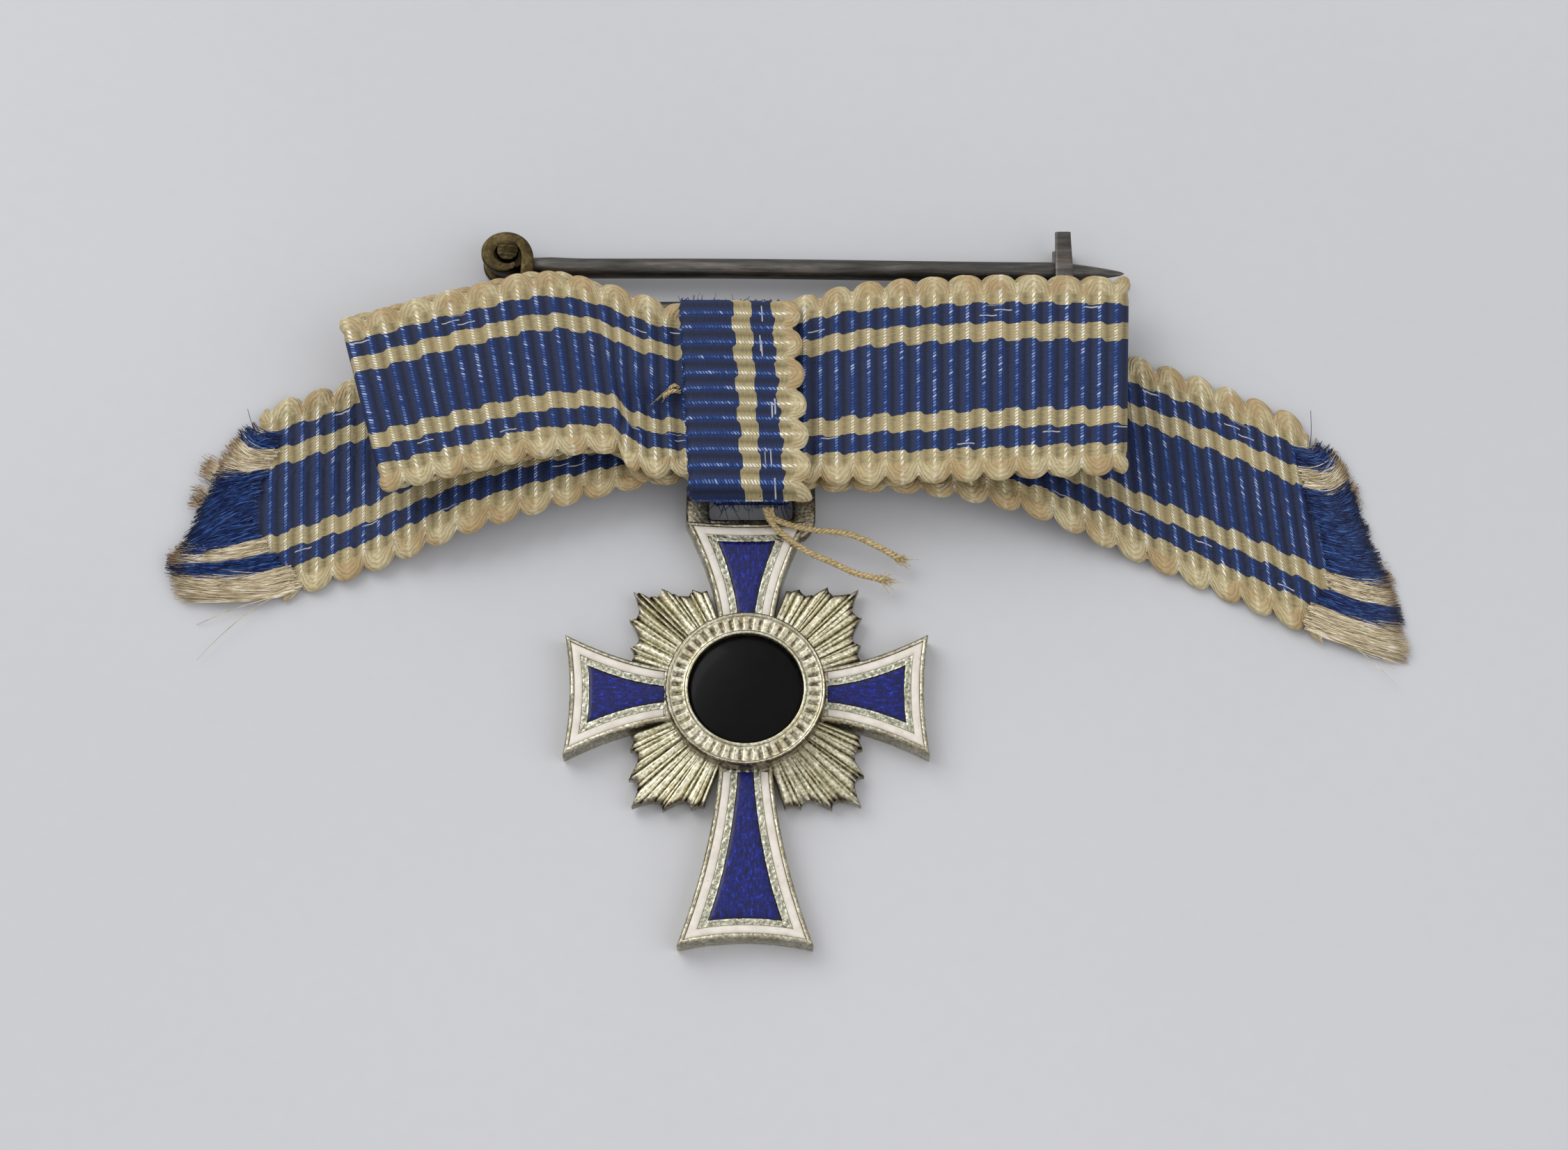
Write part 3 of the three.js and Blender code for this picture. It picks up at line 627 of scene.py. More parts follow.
fringe_left = make_fringe(
    "fringe_left_fibres", left_place, left_reach, 2400,
    [5.1, 5.3, 4.6, 3.7, 3.1, 2.7, 2.25, 1.6, 1.0, 0.4],
    [1.3, 1.6, 1.5, 0.9, -0.2, -0.8, -0.5, 1.3, 1.1, 0.8],
    [(1.6, 2.5, 1.2), (0.6, 2.6, 0.8), (-1.5, 3.0, 0.2)])
fringe_right = make_fringe(
    "fringe_right_fibres", right_place, right_reach, 2400,
    [4.4, 4.5, 3.4, 2.8, 2.4, 2.05, 1.9, 1.7, 1.3, 0.6],
    [0.7, 0.9, 1.0, 0.9, 0.9, 1.1, 1.5, 1.8, 1.2, 0.8],
    [(1.6, 2.2, 1.3), (-1.4, 2.8, 0.8)])

# The band: the same ribbon folded under at its left edge and closed around the bow's middle.
band_right_edge, band_fold_edge = 0.78, -4.62
band_lean = -0.06
band_middle_y = 8.2
fold_radius = 0.13
band_line = Route([
    (8.0, 1.2), (5.75, 1.22), (4.45, 1.95), (3.68, 2.62), (3.46, 3.2), (3.7, 3.6), (4.45, 3.72),
    (8.2, 3.76), (12.0, 3.72), (12.7, 3.6), (12.96, 3.15), (12.96, 2.0), (12.7, 1.45), (12.1, 1.22),
    (8.4, 1.2)], count=1500)


def band_place(u, v):
    u, v = np.broadcast_arrays(np.asarray(u, float), np.asarray(v, float))
    line, along = band_line.at(u), band_line.tangent(np.clip(u, 0, band_line.length))
    outwards = np.stack([-along[..., 1], along[..., 0]], -1)
    inset = ribbon_width / 2 - v
    top_width = band_right_edge - band_fold_edge
    turned = np.clip((inset - top_width) / fold_radius, 0, math.pi)
    x = np.where(inset < top_width, band_right_edge - inset,
                 band_fold_edge - fold_radius * np.sin(turned))
    past = inset - top_width - math.pi * fold_radius
    x = np.where(past > 0, band_fold_edge + past, x)
    line = line + outwards * (fold_radius * np.cos(turned))[..., None]
    on_top = smooth(line[..., 1], 3, 3.5)
    line[..., 1] += on_top * 0.06 * np.sin((x + 4.9) * 1.1)
    x = x + band_lean * (line[..., 0] - band_middle_y)
    return np.stack([x, line[..., 0], line[..., 1]], -1)


band = ribbon("knot_band_ribbon", band_place, band_line.length, relief=0.1, base=0.035, weave_shift=-0.15,
              knob_relief=0.12)

# The hanger: a narrow strip around the top bar of the cross's frame.
frame_x, bar_y, bar_z = -1.76, 4.55, 0.63
hanger_line = Route([
    (9.0, 0.2), (7.0, 0.2), (5.2, 0.2), (4.55, 0.19), (4.2, 0.34), (4.1, 0.63), (4.24, 0.95),
    (4.55, 1.08), (4.9, 0.95), (5.08, 0.6), (5.35, 0.42), (6.2, 0.4)], count=900)


def hanger_place(u, v):
    u, v = np.broadcast_arrays(np.asarray(u, float), np.asarray(v, float))
    line = hanger_line.at(u)
    return np.stack([frame_x + v, line[..., 0], line[..., 1]], -1)


hanger = ribbon("hanger_strip", hanger_place, hanger_line.length, scallops=(0, 0), relief=0.06,
                base=0.05, half_width=1.75)


def make_fuzz():
    """Loose blue fibres at the band's folds and in the frame's opening."""
    parts = Parts()

    def fibre(start, direction, length, v, dark=0.0):
        t = np.linspace(0, 1, 7)[:, None]
        curl = random.normal(0, 0.45, 3) * (1, 1, 0.5)
        path = start + direction * t * length + curl * t ** 2 * length
        path[:, 2] = np.maximum(path[:, 2], 0.1)
        weave = np.stack([t[:, 0] * length, np.full(7, v), np.maximum(t[:, 0] * 0.5, dark)], -1)
        tube(parts, path, random.uniform(0.012, 0.026) * (1 - 0.4 * t[:, 0]), sides=4, weave=weave)

    for _ in range(110):
        x = -4.9 + 4.6 * random.uniform(0, 1) ** 2
        fibre(np.array([x - 0.1, 13.0, random.uniform(2.6, 3.7)]),
              np.array([random.normal(0, 0.7), 0.6, random.normal(0.2, 0.3)]), random.uniform(0.1, 0.34), 0.0)
    # The fibres in the frame's opening get a high dark value that darkens them along their length, a painted shade for
    # the shadow under the band.
    for _ in range(70):
        x = frame_x + random.uniform(-1.75, 1.75)
        fibre(np.array([x, random.uniform(3.9, 4.3), random.uniform(0.7, 1.1)]),
              np.array([random.normal(0, 0.35), -0.9, random.normal(-0.15, 0.2)]),
              random.uniform(0.25, 0.8), 0.0, dark=random.uniform(0.5, 0.8))
    for _ in range(60):
        x = random.uniform(-4.6, 0.4)
        fibre(np.array([x, 3.5, random.uniform(3.0, 3.5)]),
              np.array([random.normal(0, 0.5), -0.6, random.normal(0.0, 0.15)]), random.uniform(0.1, 0.26),
              3.0 if random.random() < 0.2 else 0.0)
    return parts.make("loose_knot_fibres", fibre_cloth)


fuzz = make_fuzz()

# ---- Sewing thread ------------------------------------------------------------------------


def thread_material(name, soil):
    s = Shader(name, Roughness=0.72, Specular_IOR_Level=0.3)
    point = s.place()
    fibres = s.noise(point, 9.0, detail=4, roughness=0.6)
    base = s.ramp(fibres, [(0.25, colour(116, 96, 62)), (0.5, colour(176, 156, 112)), (0.75, colour(218, 202, 164))])
    base = s.mix(soil, base, colour(52, 46, 38))
    return s.done(base, None, s.bump(fibres, 0.00004, 0.8))


straw = thread_material("straw_thread", 0.0)
soiled_straw = thread_material("soiled_thread", 0.75)


def twisted(parts, path_points, radius, tuft=0, pitch=0.62, steps_per_mm=16):
    """Three plies wound together along a path, with a frayed tuft at the far end."""
    route = Route(path_points)
    count = max(8, int(route.length * steps_per_mm))
    distance = np.linspace(0, route.length, count)
    path = route.at(distance)
    along = route.tangent(distance)
    side = np.cross(along, (0.05, 0.1, 1.0))
    side /= np.linalg.norm(side, axis=1, keepdims=True)
    up = np.cross(side, along)
    open_up = 1 + 0.5 * smooth(distance, route.length - 0.5, route.length) * (tuft > 0)
    for ply in range(3):
        angle = 2 * math.pi * (distance / pitch + ply / 3)
        offset = (np.cos(angle)[:, None] * side + np.sin(angle)[:, None] * up)
        tube(parts, path + offset * (radius * 0.56 * open_up)[:, None], radius * 0.5, sides=8)
    for _ in range(tuft):
        t = np.linspace(0, 1, 6)[:, None]
        out = along[-1] + random.normal(0, 0.3, 3) * (1, 1, 0.6)
        hair = path[-1] - along[-1] * 0.25 + out * t * random.uniform(0.35, 0.7)
        hair += random.normal(0, 0.12, 3) * t ** 2
        tube(parts, hair, 0.022 * (1 - 0.5 * t[:, 0]), sides=4)
    for _ in range(int(route.length * 5) if tuft else 0):
        k = random.integers(2, count - 2)
        t = np.linspace(0, 1, 5)[:, None]
        out = random.normal(0, 0.5, 3) + along[k] * 0.5
        tube(parts, path[k] + out * t * random.uniform(0.12, 0.34), 0.011, sides=4)


thread_radius = 0.145
upper, lower = Parts(), Parts()
twisted(upper, [(-0.85, 3.35, 1.9), (-0.75, 2.95, 1.75), (-0.3, 2.75, 1.6), (1.09, 2.42, 1.5),
                (2.85, 2.21, 1.4), (3.94, 1.78, 1.2), (5.06, 1.24, 0.9)], thread_radius, tuft=60)
twisted(lower, [(-1.1, 3.35, 1.9), (-0.95, 2.95, 1.75), (-0.7, 2.6, 1.6), (-0.05, 2.02, 1.42),
                (0.8, 1.4, 1.4), (1.9, 0.92, 1.3), (3.1, 0.42, 1.1), (4.35, 0.18, 0.9)],
        thread_radius, tuft=60)
thread_upper = upper.make("loose_thread_upper", straw)
thread_lower = lower.make("loose_thread_lower", straw)

stitch_parts = Parts()
twisted(stitch_parts, [(-5.75, 8.35, 3.1), (-5.6, 8.4, 3.4), (-5.3, 8.5, 3.5), (-5.0, 8.55, 3.3)], 0.1, tuft=0)
twisted(stitch_parts, [(-5.05, 8.75, 3.3), (-5.3, 8.8, 3.45), (-5.5, 8.65, 3.35)], 0.08, tuft=8)
stitch = stitch_parts.make("knot_stitch_thread", straw)

brooch_y, brooch_z, brooch_radius = 13.85, 0.75, 0.4
lashing_parts = Parts()
lashing_turns, lashing_length = 9, 3.2
angles = np.linspace(0, 2 * math.pi * lashing_turns, 24 * lashing_turns)
coil_radius = brooch_radius + 0.07
twisted(lashing_parts, np.stack([
    frame_x - lashing_length / 2 + lashing_length * angles / angles[-1],
    brooch_y + coil_radius * np.cos(angles), brooch_z + coil_radius * np.sin(angles)], -1),
    0.06, tuft=0, steps_per_mm=9)
lashing = lashing_parts.make("bar_lashing_thread", soiled_straw)

# ---- Metal and enamel ---------------------------------------------------------------------


def silver_material(name, grain):
    """Cast silvered metal. The attribute read below says how tarnished a place is; below zero it is
    greyer and grainier, as between the enamels."""
    s = Shader(name, Metallic=1.0)
    point = s.place()
    fine = s.noise(point, 7.5, detail=5, roughness=0.7)
    pits = s.cells(point, 6.5)
    cloud = s.noise(point, 0.8, detail=4, roughness=0.6)
    base = s.ramp(s.plus(s.times(fine, 0.75), s.times(pits, 0.35)),
                  [(0.24, colour(112, 106, 84)), (0.46, colour(188, 183, 156)), (0.72, colour(244, 242, 224))])
    base = s.mix(s.times(s.step(cloud, 0.42, 0.7), 0.5), base, colour(160, 148, 104))
    wear = s.attribute("wear", out=2)
    grey = s.sum("MINIMUM", s.sum("MAXIMUM", s.times(wear, -1.0), 0.0), 1.0)
    grey_base = s.ramp(fine, [(0.32, colour(78, 82, 70)), (0.5, colour(154, 156, 140)), (0.68, colour(218, 218, 204))])
    base = s.mix(grey, base, grey_base)
    speck = s.step(s.noise(point, 8.0, detail=3), 0.56, 0.64)
    base = s.mix(s.times(speck, grain), base, colour(44, 40, 34))
    patch = s.times(s.spread(s.noise(point, 2.2, detail=5), 0.0, 1.7), s.spread(s.noise(point, 9.0), 0.3, 1.7))
    tarnish = s.sum("MINIMUM", s.sum("MAXIMUM", s.times(wear, patch), 0.0), 0.95)
    base = s.mix(tarnish, base, colour(66, 47, 33))
    height = s.plus(fine, s.times(pits, 0.8))
    return s.done(base, s.spread(fine, 0.22, 0.5), s.bump(height, 0.00005, 0.2 + grain * 0.5))


silver_grainy = silver_material("grainy_silver", 0.3)
silver_bright = silver_material("worn_silver", 0.1)


def enamel_material(name, kind):
    s = Shader(name, Coat_Weight=0.06 if kind == "dark" else 0.2, Coat_Roughness=0.08, Roughness=0.35,
               Coat_IOR=1.4, Specular_IOR_Level=0.1 if kind == "dark" else 0.25)
    point = s.place()
    if kind == "blue":
        # The engraved ground shows through as streaks along the arm.
        along_arm = s.node("ShaderNodeVectorMath", {0: s.attribute("weave"), 1: (3.0, 0.9, 1.0)},
                           operation="MULTIPLY")
        waves = s.noise(along_arm, 2.6, detail=5, roughness=0.75)
        flecks = s.noise(point, 9.0, detail=2)
        depth = s.plus(s.times(waves, 0.75), s.times(flecks, 0.25))
        base = s.ramp(depth, [(0.36, colour(1, 3, 34)), (0.48, colour(2, 10, 76)), (0.57, colour(6, 24, 122)),
                              (0.68, colour(44, 78, 200))])
        edge = s.attribute("wear", out=2)
        base = s.mix(s.times(edge, 0.9), base, colour(5, 6, 26))
        return s.done(base, None, s.bump(depth, 0.00005, 0.5), s.bump(waves, 0.00001, 0.5))
    if kind == "white":
        clouds = s.noise(point, 1.6, detail=3)
        base = s.ramp(clouds, [(0.35, colour(200, 193, 182)), (0.6, colour(212, 207, 198))])
        edge = s.attribute("wear", out=2)
        base = s.mix(s.times(edge, 0.5), base, colour(150, 126, 106))
        chips = s.step(s.noise(point, 4.5, detail=2), 0.7, 0.76)
        base = s.mix(s.times(chips, 0.5), base, colour(150, 124, 100))
        return s.done(base, None, s.bump(clouds, 0.00001, 0.4), None)
    faint = s.noise(point, 1.2, detail=3)
    base = s.ramp(faint, [(0.3, colour(1, 1, 2)), (0.7, colour(4, 4, 5))])
    return s.done(base, None, None, s.bump(faint, 0.00001, 0.3))


white_enamel = enamel_material("ivory_enamel", "white")
blue_enamel = enamel_material("translucent_blue_enamel", "blue")
dark_enamel = enamel_material("black_enamel", "dark")

thickness = 1.2
waist_half, flare_start, flare_power = 1.16, 2.6, 1.75
bevel_share, root_share = 1.18, 0.75
border, white_end, blue_start, enamel_start = 0.2, 0.6, 0.93, 3.72
channel_floor = 0.9
arms = {
    "top": (0.0, 8.42, 2.8),
    "left": (math.pi / 2, 8.25, 2.87),
    "bottom": (math.pi, 11.7, 3.02),
    "right": (-math.pi / 2, 8.3, 2.87),
}
hollows = {8.42: 0.12, 8.25: 0.26, 11.7: 0.35, 8.3: 0.24}


def arm_half(length, end_half, v):
    share = np.clip((v - flare_start) / (length - flare_start), 0, None)
    return waist_half + (end_half - waist_half) * share ** flare_power


def border_share(length, v):
    """How wide the borders are along X at v, for each mm of inset: they narrow towards the ring."""
    share = np.clip((v - flare_start) / (length - flare_start), 0, None)
    return bevel_share * (root_share + (1 - root_share) * share)


def dip(length, end_half, x, v):
    """The hollow of the arm's end at x, fading out towards the middle of the cross."""
    half = arm_half(length, end_half, v)
    return hollows[length] * (1 - np.clip(np.abs(x) / half, 0, 1) ** 2) * smooth(v, length - 3.5, length - 0.2)


def turned(x, y, z, angle):
    c, s = math.cos(angle), math.sin(angle)
    return np.stack([cross_x + c * x - s * y, cross_y + s * x + c * y, z], -1)


def plate(parts, top, floor, wear, rim=0.06, side_wear=0.5):
    """A closed slab under a grid of top points, (rows, columns, 3)."""
    rows, columns = top.shape[:2]
    around = ([(0, j) for j in range(columns)] + [(i, columns - 1) for i in range(1, rows)]
              + [(rows - 1, j) for j in range(columns - 2, -1, -1)] + [(i, 0) for i in range(rows - 2, 0, -1)])
    rim_points = np.array([top[i, j] for i, j in around])
    centre = rim_points.mean(0)
    lower = rim_points.copy()
    lower[:, 2] = floor + rim
    inner = rim_points + (centre - rim_points) * 0.012
    inner[:, 2] = floor
    count, n = rows * columns, len(around)
    faces = quads(rows, columns)
    index = [i * columns + j for i, j in around]
    for k in range(n):
        m = (k + 1) % n
        faces.append((index[m], index[k], count + k, count + m))
        faces.append((count + m, count + k, count + n + k, count + n + m))
    faces.append(tuple(count + n + k for k in range(n)))
    a, b, c = top[0, 0], top[0, 1], top[1, 0]
    if np.cross(b - a, c - a)[2] < 0:
        faces = [face[::-1] for face in faces]
    points = np.concatenate([top.reshape(-1, 3), lower, inner])
    parts.add(points, faces, wear=np.concatenate([wear.ravel(), np.full(2 * n, side_wear)]))


inset_steps = np.array([0, 0.03, 0.06, 0.1, 0.15, 0.188, 0.212, 0.3, 0.4, 0.5, 0.588, 0.612, 0.66, 0.72, 0.78,
                        0.84, 0.89, 0.918, 0.942, 1.0])
metal = Parts()


def make_arm(arm):
    angle, length, end_half = arms[arm]
    v_rows = np.concatenate([np.arange(1.0, length - 1.3, 0.09), length - inset_steps[::-1]])
    half = arm_half(length, end_half, v_rows)[:, None]
    narrow = border_share(length, v_rows)[:, None]
    left = -half + narrow * inset_steps[None, :]
    inner = np.maximum(half - narrow * inset_steps[-1], 0.002)
    middle = inner * np.linspace(-1, 1, 24)[None, 1:-1]
    x = np.concatenate([left, middle, -left[:, ::-1]], axis=1)
    x = np.sort(x, axis=1)
    v = np.broadcast_to(v_rows[:, None], x.shape)
    from_side = (half - np.abs(x)) / narrow
    inset = np.minimum(from_side, length - v)
    border_top = thickness - 0.09 * (1 - smooth(inset, 0, 0.09)) + 0.02 * np.sin(np.clip(inset / border, 0, 1) * math.pi)
    grain = random.normal(0, 0.011, x.shape)
    notch = 0.02 * np.sin(v * 19) * np.sin(x * 17 + v * 5)
    inner_top = thickness - 0.04 + grain + notch
    in_cells = ((inset > border) & (inset < white_end)) | (inset > blue_start)
    z = np.where(inset <= border, border_top + 0.25 * grain, inner_top)
    z = np.where(in_cells & (v > enamel_start), channel_floor, z)
    wear = 0.26 + 0.4 * (1 - smooth(inset, 0.0, 0.1)) + 0.3 * np.exp(-((inset - border) / 0.03) ** 2)
    grey = -0.9 + 1.6 * np.exp(-((inset - blue_start) / 0.05) ** 2) + 1.1 * np.exp(-((inset - white_end) / 0.03) ** 2)
    wear = np.where(inset > (border + white_end) / 2, grey, wear)
    plate(metal, turned(x, v - dip(length, end_half, x, v), z, angle), 0.0, wear, side_wear=0.25)

    white = Parts()
    a = np.linspace(border + 0.01, white_end - 0.01, 7)
    grid = []
    for d in a:
        corner_v = length - d
        up_v = np.linspace(enamel_start, corner_v, 40)
        up_x = arm_half(length, end_half, up_v) - border_share(length, up_v) * d
        corner_x = up_x[-1]
        end_x = np.linspace(-corner_x, corner_x, 26)[1:-1]
        line_x = np.concatenate([-up_x, end_x, up_x[::-1]])
        line_v = np.concatenate([up_v, np.full(len(end_x), corner_v), up_v[::-1]])
        grid.append(np.stack([line_x, line_v - dip(length, end_half, line_x, line_v)], -1))
    grid = np.array(grid)
    across = np.linspace(-1, 1, len(a))[:, None]
    white_z = thickness + 0.012 - 0.05 * across ** 4 + 0 * grid[..., 0]
    top = turned(grid[..., 0], grid[..., 1], white_z, angle)
    wear = np.broadcast_to(np.abs(across) ** 6, grid.shape[:2]) * 0.8
    bottom_z = np.full(grid.shape[:2], channel_floor + 0.02)
    base = turned(grid[..., 0], grid[..., 1], bottom_z, angle)
    shell_strip(white, top, base, wear)
    white_piece = white.make(f"white_enamel_{arm}", white_enamel)

    blue = Parts()
    v_rows = np.linspace(enamel_start, length - blue_start - 0.01, 46)
    half = arm_half(length, end_half, v_rows) - border_share(length, v_rows) * (blue_start + 0.01)
    half = half[:, None]
    share = np.array([-1, -0.94, -0.86, -0.7, -0.5, -0.25, 0, 0.25, 0.5, 0.7, 0.86, 0.94, 1])[None, :]
    x = np.maximum(half, 0.02) * share
    v = np.broadcast_to(v_rows[:, None], x.shape)
    edge = np.minimum((1 - np.abs(share)) * half, length - blue_start - v)
    ripple = 0.006 * np.sin(v * 7 + x * 3) * np.sin(x * 9 - v * 2)
    z = thickness - 0.05 * np.exp(-edge / 0.06) + ripple - 0.005
    wear = np.exp(-edge / 0.07)
    top = turned(x, v - dip(length, end_half, x, v), z, angle)
    base = turned(x, v - dip(length, end_half, x, v), np.full(x.shape, channel_floor + 0.02), angle)
    shell_strip(blue, top, base, wear, np.stack([x, v, 0 * x], -1))
    blue_piece = blue.make(f"blue_enamel_{arm}", blue_enamel)
    return white_piece, blue_piece


def shell_strip(parts, top, base, wear, weave=None):
    """A closed shell between two grids of the same shape."""
    rows, columns = top.shape[:2]
    count = rows * columns
    faces = quads(rows, columns)
    faces += [face[::-1] for face in quads(rows, columns, start=count)]
    around = ([j for j in range(columns)] + [i * columns + columns - 1 for i in range(1, rows)]
              + [(rows - 1) * columns + j for j in range(columns - 2, -1, -1)]
              + [i * columns for i in range(rows - 2, 0, -1)])
    for k, here in enumerate(around):
        there = around[(k + 1) % len(around)]
        faces.append((there, here, count + here, count + there))
    a, b, c = top[0, 0], top[0, 1], top[1, 0]
    if np.cross(b - a, c - a)[2] < 0:
        faces = [face[::-1] for face in faces]
    extra = {} if weave is None else {"weave": np.concatenate([weave.reshape(-1, 3)] * 2)}
    parts.add(np.concatenate([top.reshape(-1, 3), base.reshape(-1, 3)]), faces,
              wear=np.concatenate([wear.ravel(), np.ones(count)]), **extra)


enamel = {arm: make_arm(arm) for arm in arms}

# The rays between the arms: radial flutes out to a saw-toothed edge.
ray_tips = np.array([(6.0, 1.5), (5.25, 2.5), (5.3, 3.9), (5.15, 5.2), (3.75, 5.35), (2.45, 5.3), (1.5, 6.0)])
valley_depth = 0.52


def ray_reach(angle):
    """Distance to the edge: teeth with rounded hollows between their tips."""
    tip_angle = np.arctan2(ray_tips[:, 1], ray_tips[:, 0])
    line = np.interp(angle, tip_angle, np.linalg.norm(ray_tips, axis=1))
    tooth = np.interp(angle, tip_angle, np.arange(len(ray_tips)))
    return line - valley_depth * np.sin(math.pi * (tooth % 1)) ** 0.75


flute_edges = np.array([19, 22.5, 26, 28, 32, 34.5, 36.5, 39.5, 42, 45, 47, 50.5, 53, 55, 59, 61, 65, 67.5, 71])
for quarter in range(4):
    edges = np.radians(flute_edges + random.normal(0, 0.35, len(flute_edges)))
    angle = np.linspace(edges[0], edges[-1], 260)
    number = np.clip(np.searchsorted(edges, angle, side="right") - 1, 0, len(edges) - 2)
    share = (angle - edges[number]) / (edges[number + 1] - edges[number])
    reach = ray_reach(angle)
    radius_share = np.linspace(0, 1, 34)[:, None]
    inner_radius = 3.2
    radius = inner_radius + (reach[None, :] - inner_radius) * radius_share
    flute = np.sqrt(np.clip(1 - (2 * share - 1) ** 2, 0, 1))[None, :]
    tilt = (random.normal(0, 0.07, len(edges))[number] * (2 * share - 1))[None, :]
    deep = 0.04 + 0.15 * smooth(radius_share, 0.0, 0.6)
    z = 0.98 - 0.16 * radius_share + deep * (flute - 1) + tilt
    z = z + random.normal(0, 0.004, radius.shape) - 0.08 * smooth(radius_share, 0.95, 1.0)
    wear = 0.9 * smooth(radius_share, 0.86, 1.0) + 0.3 * (1 - flute) ** 4 * (0.2 + radius_share) + 0 * radius
    turn = quarter * math.pi / 2
    grid = turned(radius * np.cos(angle), radius * np.sin(angle), z, turn)
    plate(metal, grid, 0.16, wear, side_wear=0.35)


def rounded_box(parts, low, high, radius=0.1, wear=0.15):
    """A box with rounded edges, as a grid over its outline drawn in at the top and bottom."""
    low, high = np.array(low, float), np.array(high, float)
    corner = np.linspace(0, math.pi / 2, 4)
    plan = []
    for cx, cy, start in ((high[0], high[1], 0), (low[0], high[1], 1), (low[0], low[1], 2), (high[0], low[1], 3)):
        centre = np.array([cx - radius * np.sign(cx - (low[0] + high[0]) / 2),
                           cy - radius * np.sign(cy - (low[1] + high[1]) / 2)])
        angle = corner + start * math.pi / 2
        plan += [(centre, np.array([math.cos(k), math.sin(k)])) for k in angle]
    rings = []
    for depth, z in ((radius, low[2]), (0.3 * radius, low[2] + 0.3 * radius), (0, low[2] + radius),
                     (0, high[2] - radius), (0.3 * radius, high[2] - 0.3 * radius), (radius, high[2])):
        rings.append([(*(centre + out * (radius - depth)), z) for centre, out in plan])
    n = len(plan)
    faces = quads(len(rings), n, around=True)
    last = (len(rings) - 1) * n
    faces += [tuple(range(n - 1, -1, -1)), tuple(range(last, last + n))]
    parts.add(np.array(rings).reshape(-1, 3), faces, wear=np.full(n * len(rings), wear))


frame_low, frame_high = 0.28, 0.98
frame_side = [(2.97, 4.8), (2.99, 3.5), (2.98, 3.2), (2.9, 2.85), (2.72, 2.55), (2.5, 2.3), (1.93, 2.1), (0.6, 2.1)]
frame_inside = [(1.93, 4.8), (1.93, 3.9), (1.93, 3.5), (1.91, 3.28), (1.85, 3.18), (1.6, 3.14), (1.2, 3.14), (0.6, 3.14)]
for post_side in (-1, 1):
    outer = np.array(frame_side) * (post_side, 1) + (frame_x, 0)
    inner = np.array(frame_inside) * (post_side, 1) + (frame_x, 0)
    share = np.array([0, 0.05, 0.14, 0.3, 0.5, 0.7, 0.86, 0.95, 1.0])[None, :, None]
    plan = outer[:, None, :] * (1 - share) + inner[:, None, :] * share
    roll = np.sqrt(np.clip(1 - (2 * share[0, :, 0] - 1) ** 4, 0, 1))[None, :]
    height = frame_high - 0.14 * (1 - roll) + random.normal(0, 0.008, plan.shape[:2])
    grid = np.concatenate([plan, height[..., None]], -1)
    plate(metal, grid, frame_low, 0.5 * (1 - roll) + 0.6 + 0 * height, side_wear=0.8)
rounded_box(metal, (frame_x - 1.9, 2.38, frame_low), (frame_x + 1.9, 3.14, frame_high), wear=0.8)
tube(metal, [(frame_x + k, bar_y, bar_z) for k in np.linspace(-2.9, 2.9, 24)], 0.28, sides=20, wear=0.3)

middle_angle = np.linspace(0, 2 * math.pi, 96, endpoint=False)


def revolved(parts, profile, wear, sides=128, ornament=None):
    """A closed ring or disc turned about the cross's centre. profile is a closed loop of (r, z)."""
    profile = np.array(profile, float)
    angle = np.linspace(0, 2 * math.pi, sides, endpoint=False)
    radius = np.broadcast_to(profile[None, :, 0], (sides, len(profile)))
    z = np.broadcast_to(profile[None, :, 1], radius.shape).copy()
    worn_and_shaded = np.broadcast_to(np.asarray(wear, float), radius.shape).copy()
    if ornament is not None:
        z, worn_and_shaded = ornament(radius, np.broadcast_to(angle[:, None], radius.shape), z, worn_and_shaded)
    points = turned(radius * np.cos(angle)[:, None], radius * np.sin(angle)[:, None], z, 0)
    columns = len(profile)
    faces = []
    for i in range(sides):
        m = (i + 1) % sides
        for j in range(columns):
            k = (j + 1) % columns
            faces.append((i * columns + j, m * columns + j, m * columns + k, i * columns + k))
    parts.add(points.reshape(-1, 3), faces, wear=worn_and_shaded.ravel())


core = [(0.48, 0.0), (3.5, 0.0), (3.6, 0.1), (3.6, 1.12), (3.5, 1.2), (0.48, 1.2)]
revolved(metal, core, 0.3)
cross_metal = metal.make("cross_body_cast", silver_grainy, sharp_above=40)

# The medallion: a ring with plain notches between bright rims, and a domed black disc.
ring_inner, ring_outer, ring_low, ring_top = 2.6, 3.64, 1.23, 2.1
notch_count = 44
notch_middle = 3.12
ring_profile = [(ring_inner, ring_low), (ring_outer - 0.05, ring_low), (ring_outer, ring_low + 0.06),
                (ring_outer, ring_top - 0.2), (ring_outer - 0.015, ring_top - 0.07), (ring_outer - 0.06, ring_top - 0.01),
                (ring_outer - 0.1, ring_top), (ring_outer - 0.15, ring_top - 0.02), (ring_outer - 0.19, ring_top - 0.1)]
ring_profile += [(r, ring_top - 0.12) for r in np.linspace(ring_outer - 0.22, ring_inner + 0.2, 14)]
ring_profile += [(ring_inner + 0.17, ring_top - 0.1), (ring_inner + 0.13, ring_top - 0.02),
                 (ring_inner + 0.08, ring_top), (ring_inner + 0.03, ring_top - 0.02), (ring_inner, ring_top - 0.08)]
ring_wear = [0.9, 0.9, 0.9, 0.9, 1.2, 1.1, 0.3, 0.05, 0.7] + [0.1] * 14 + [0.7, 0.2, 0.05, 0.3, 0.6]


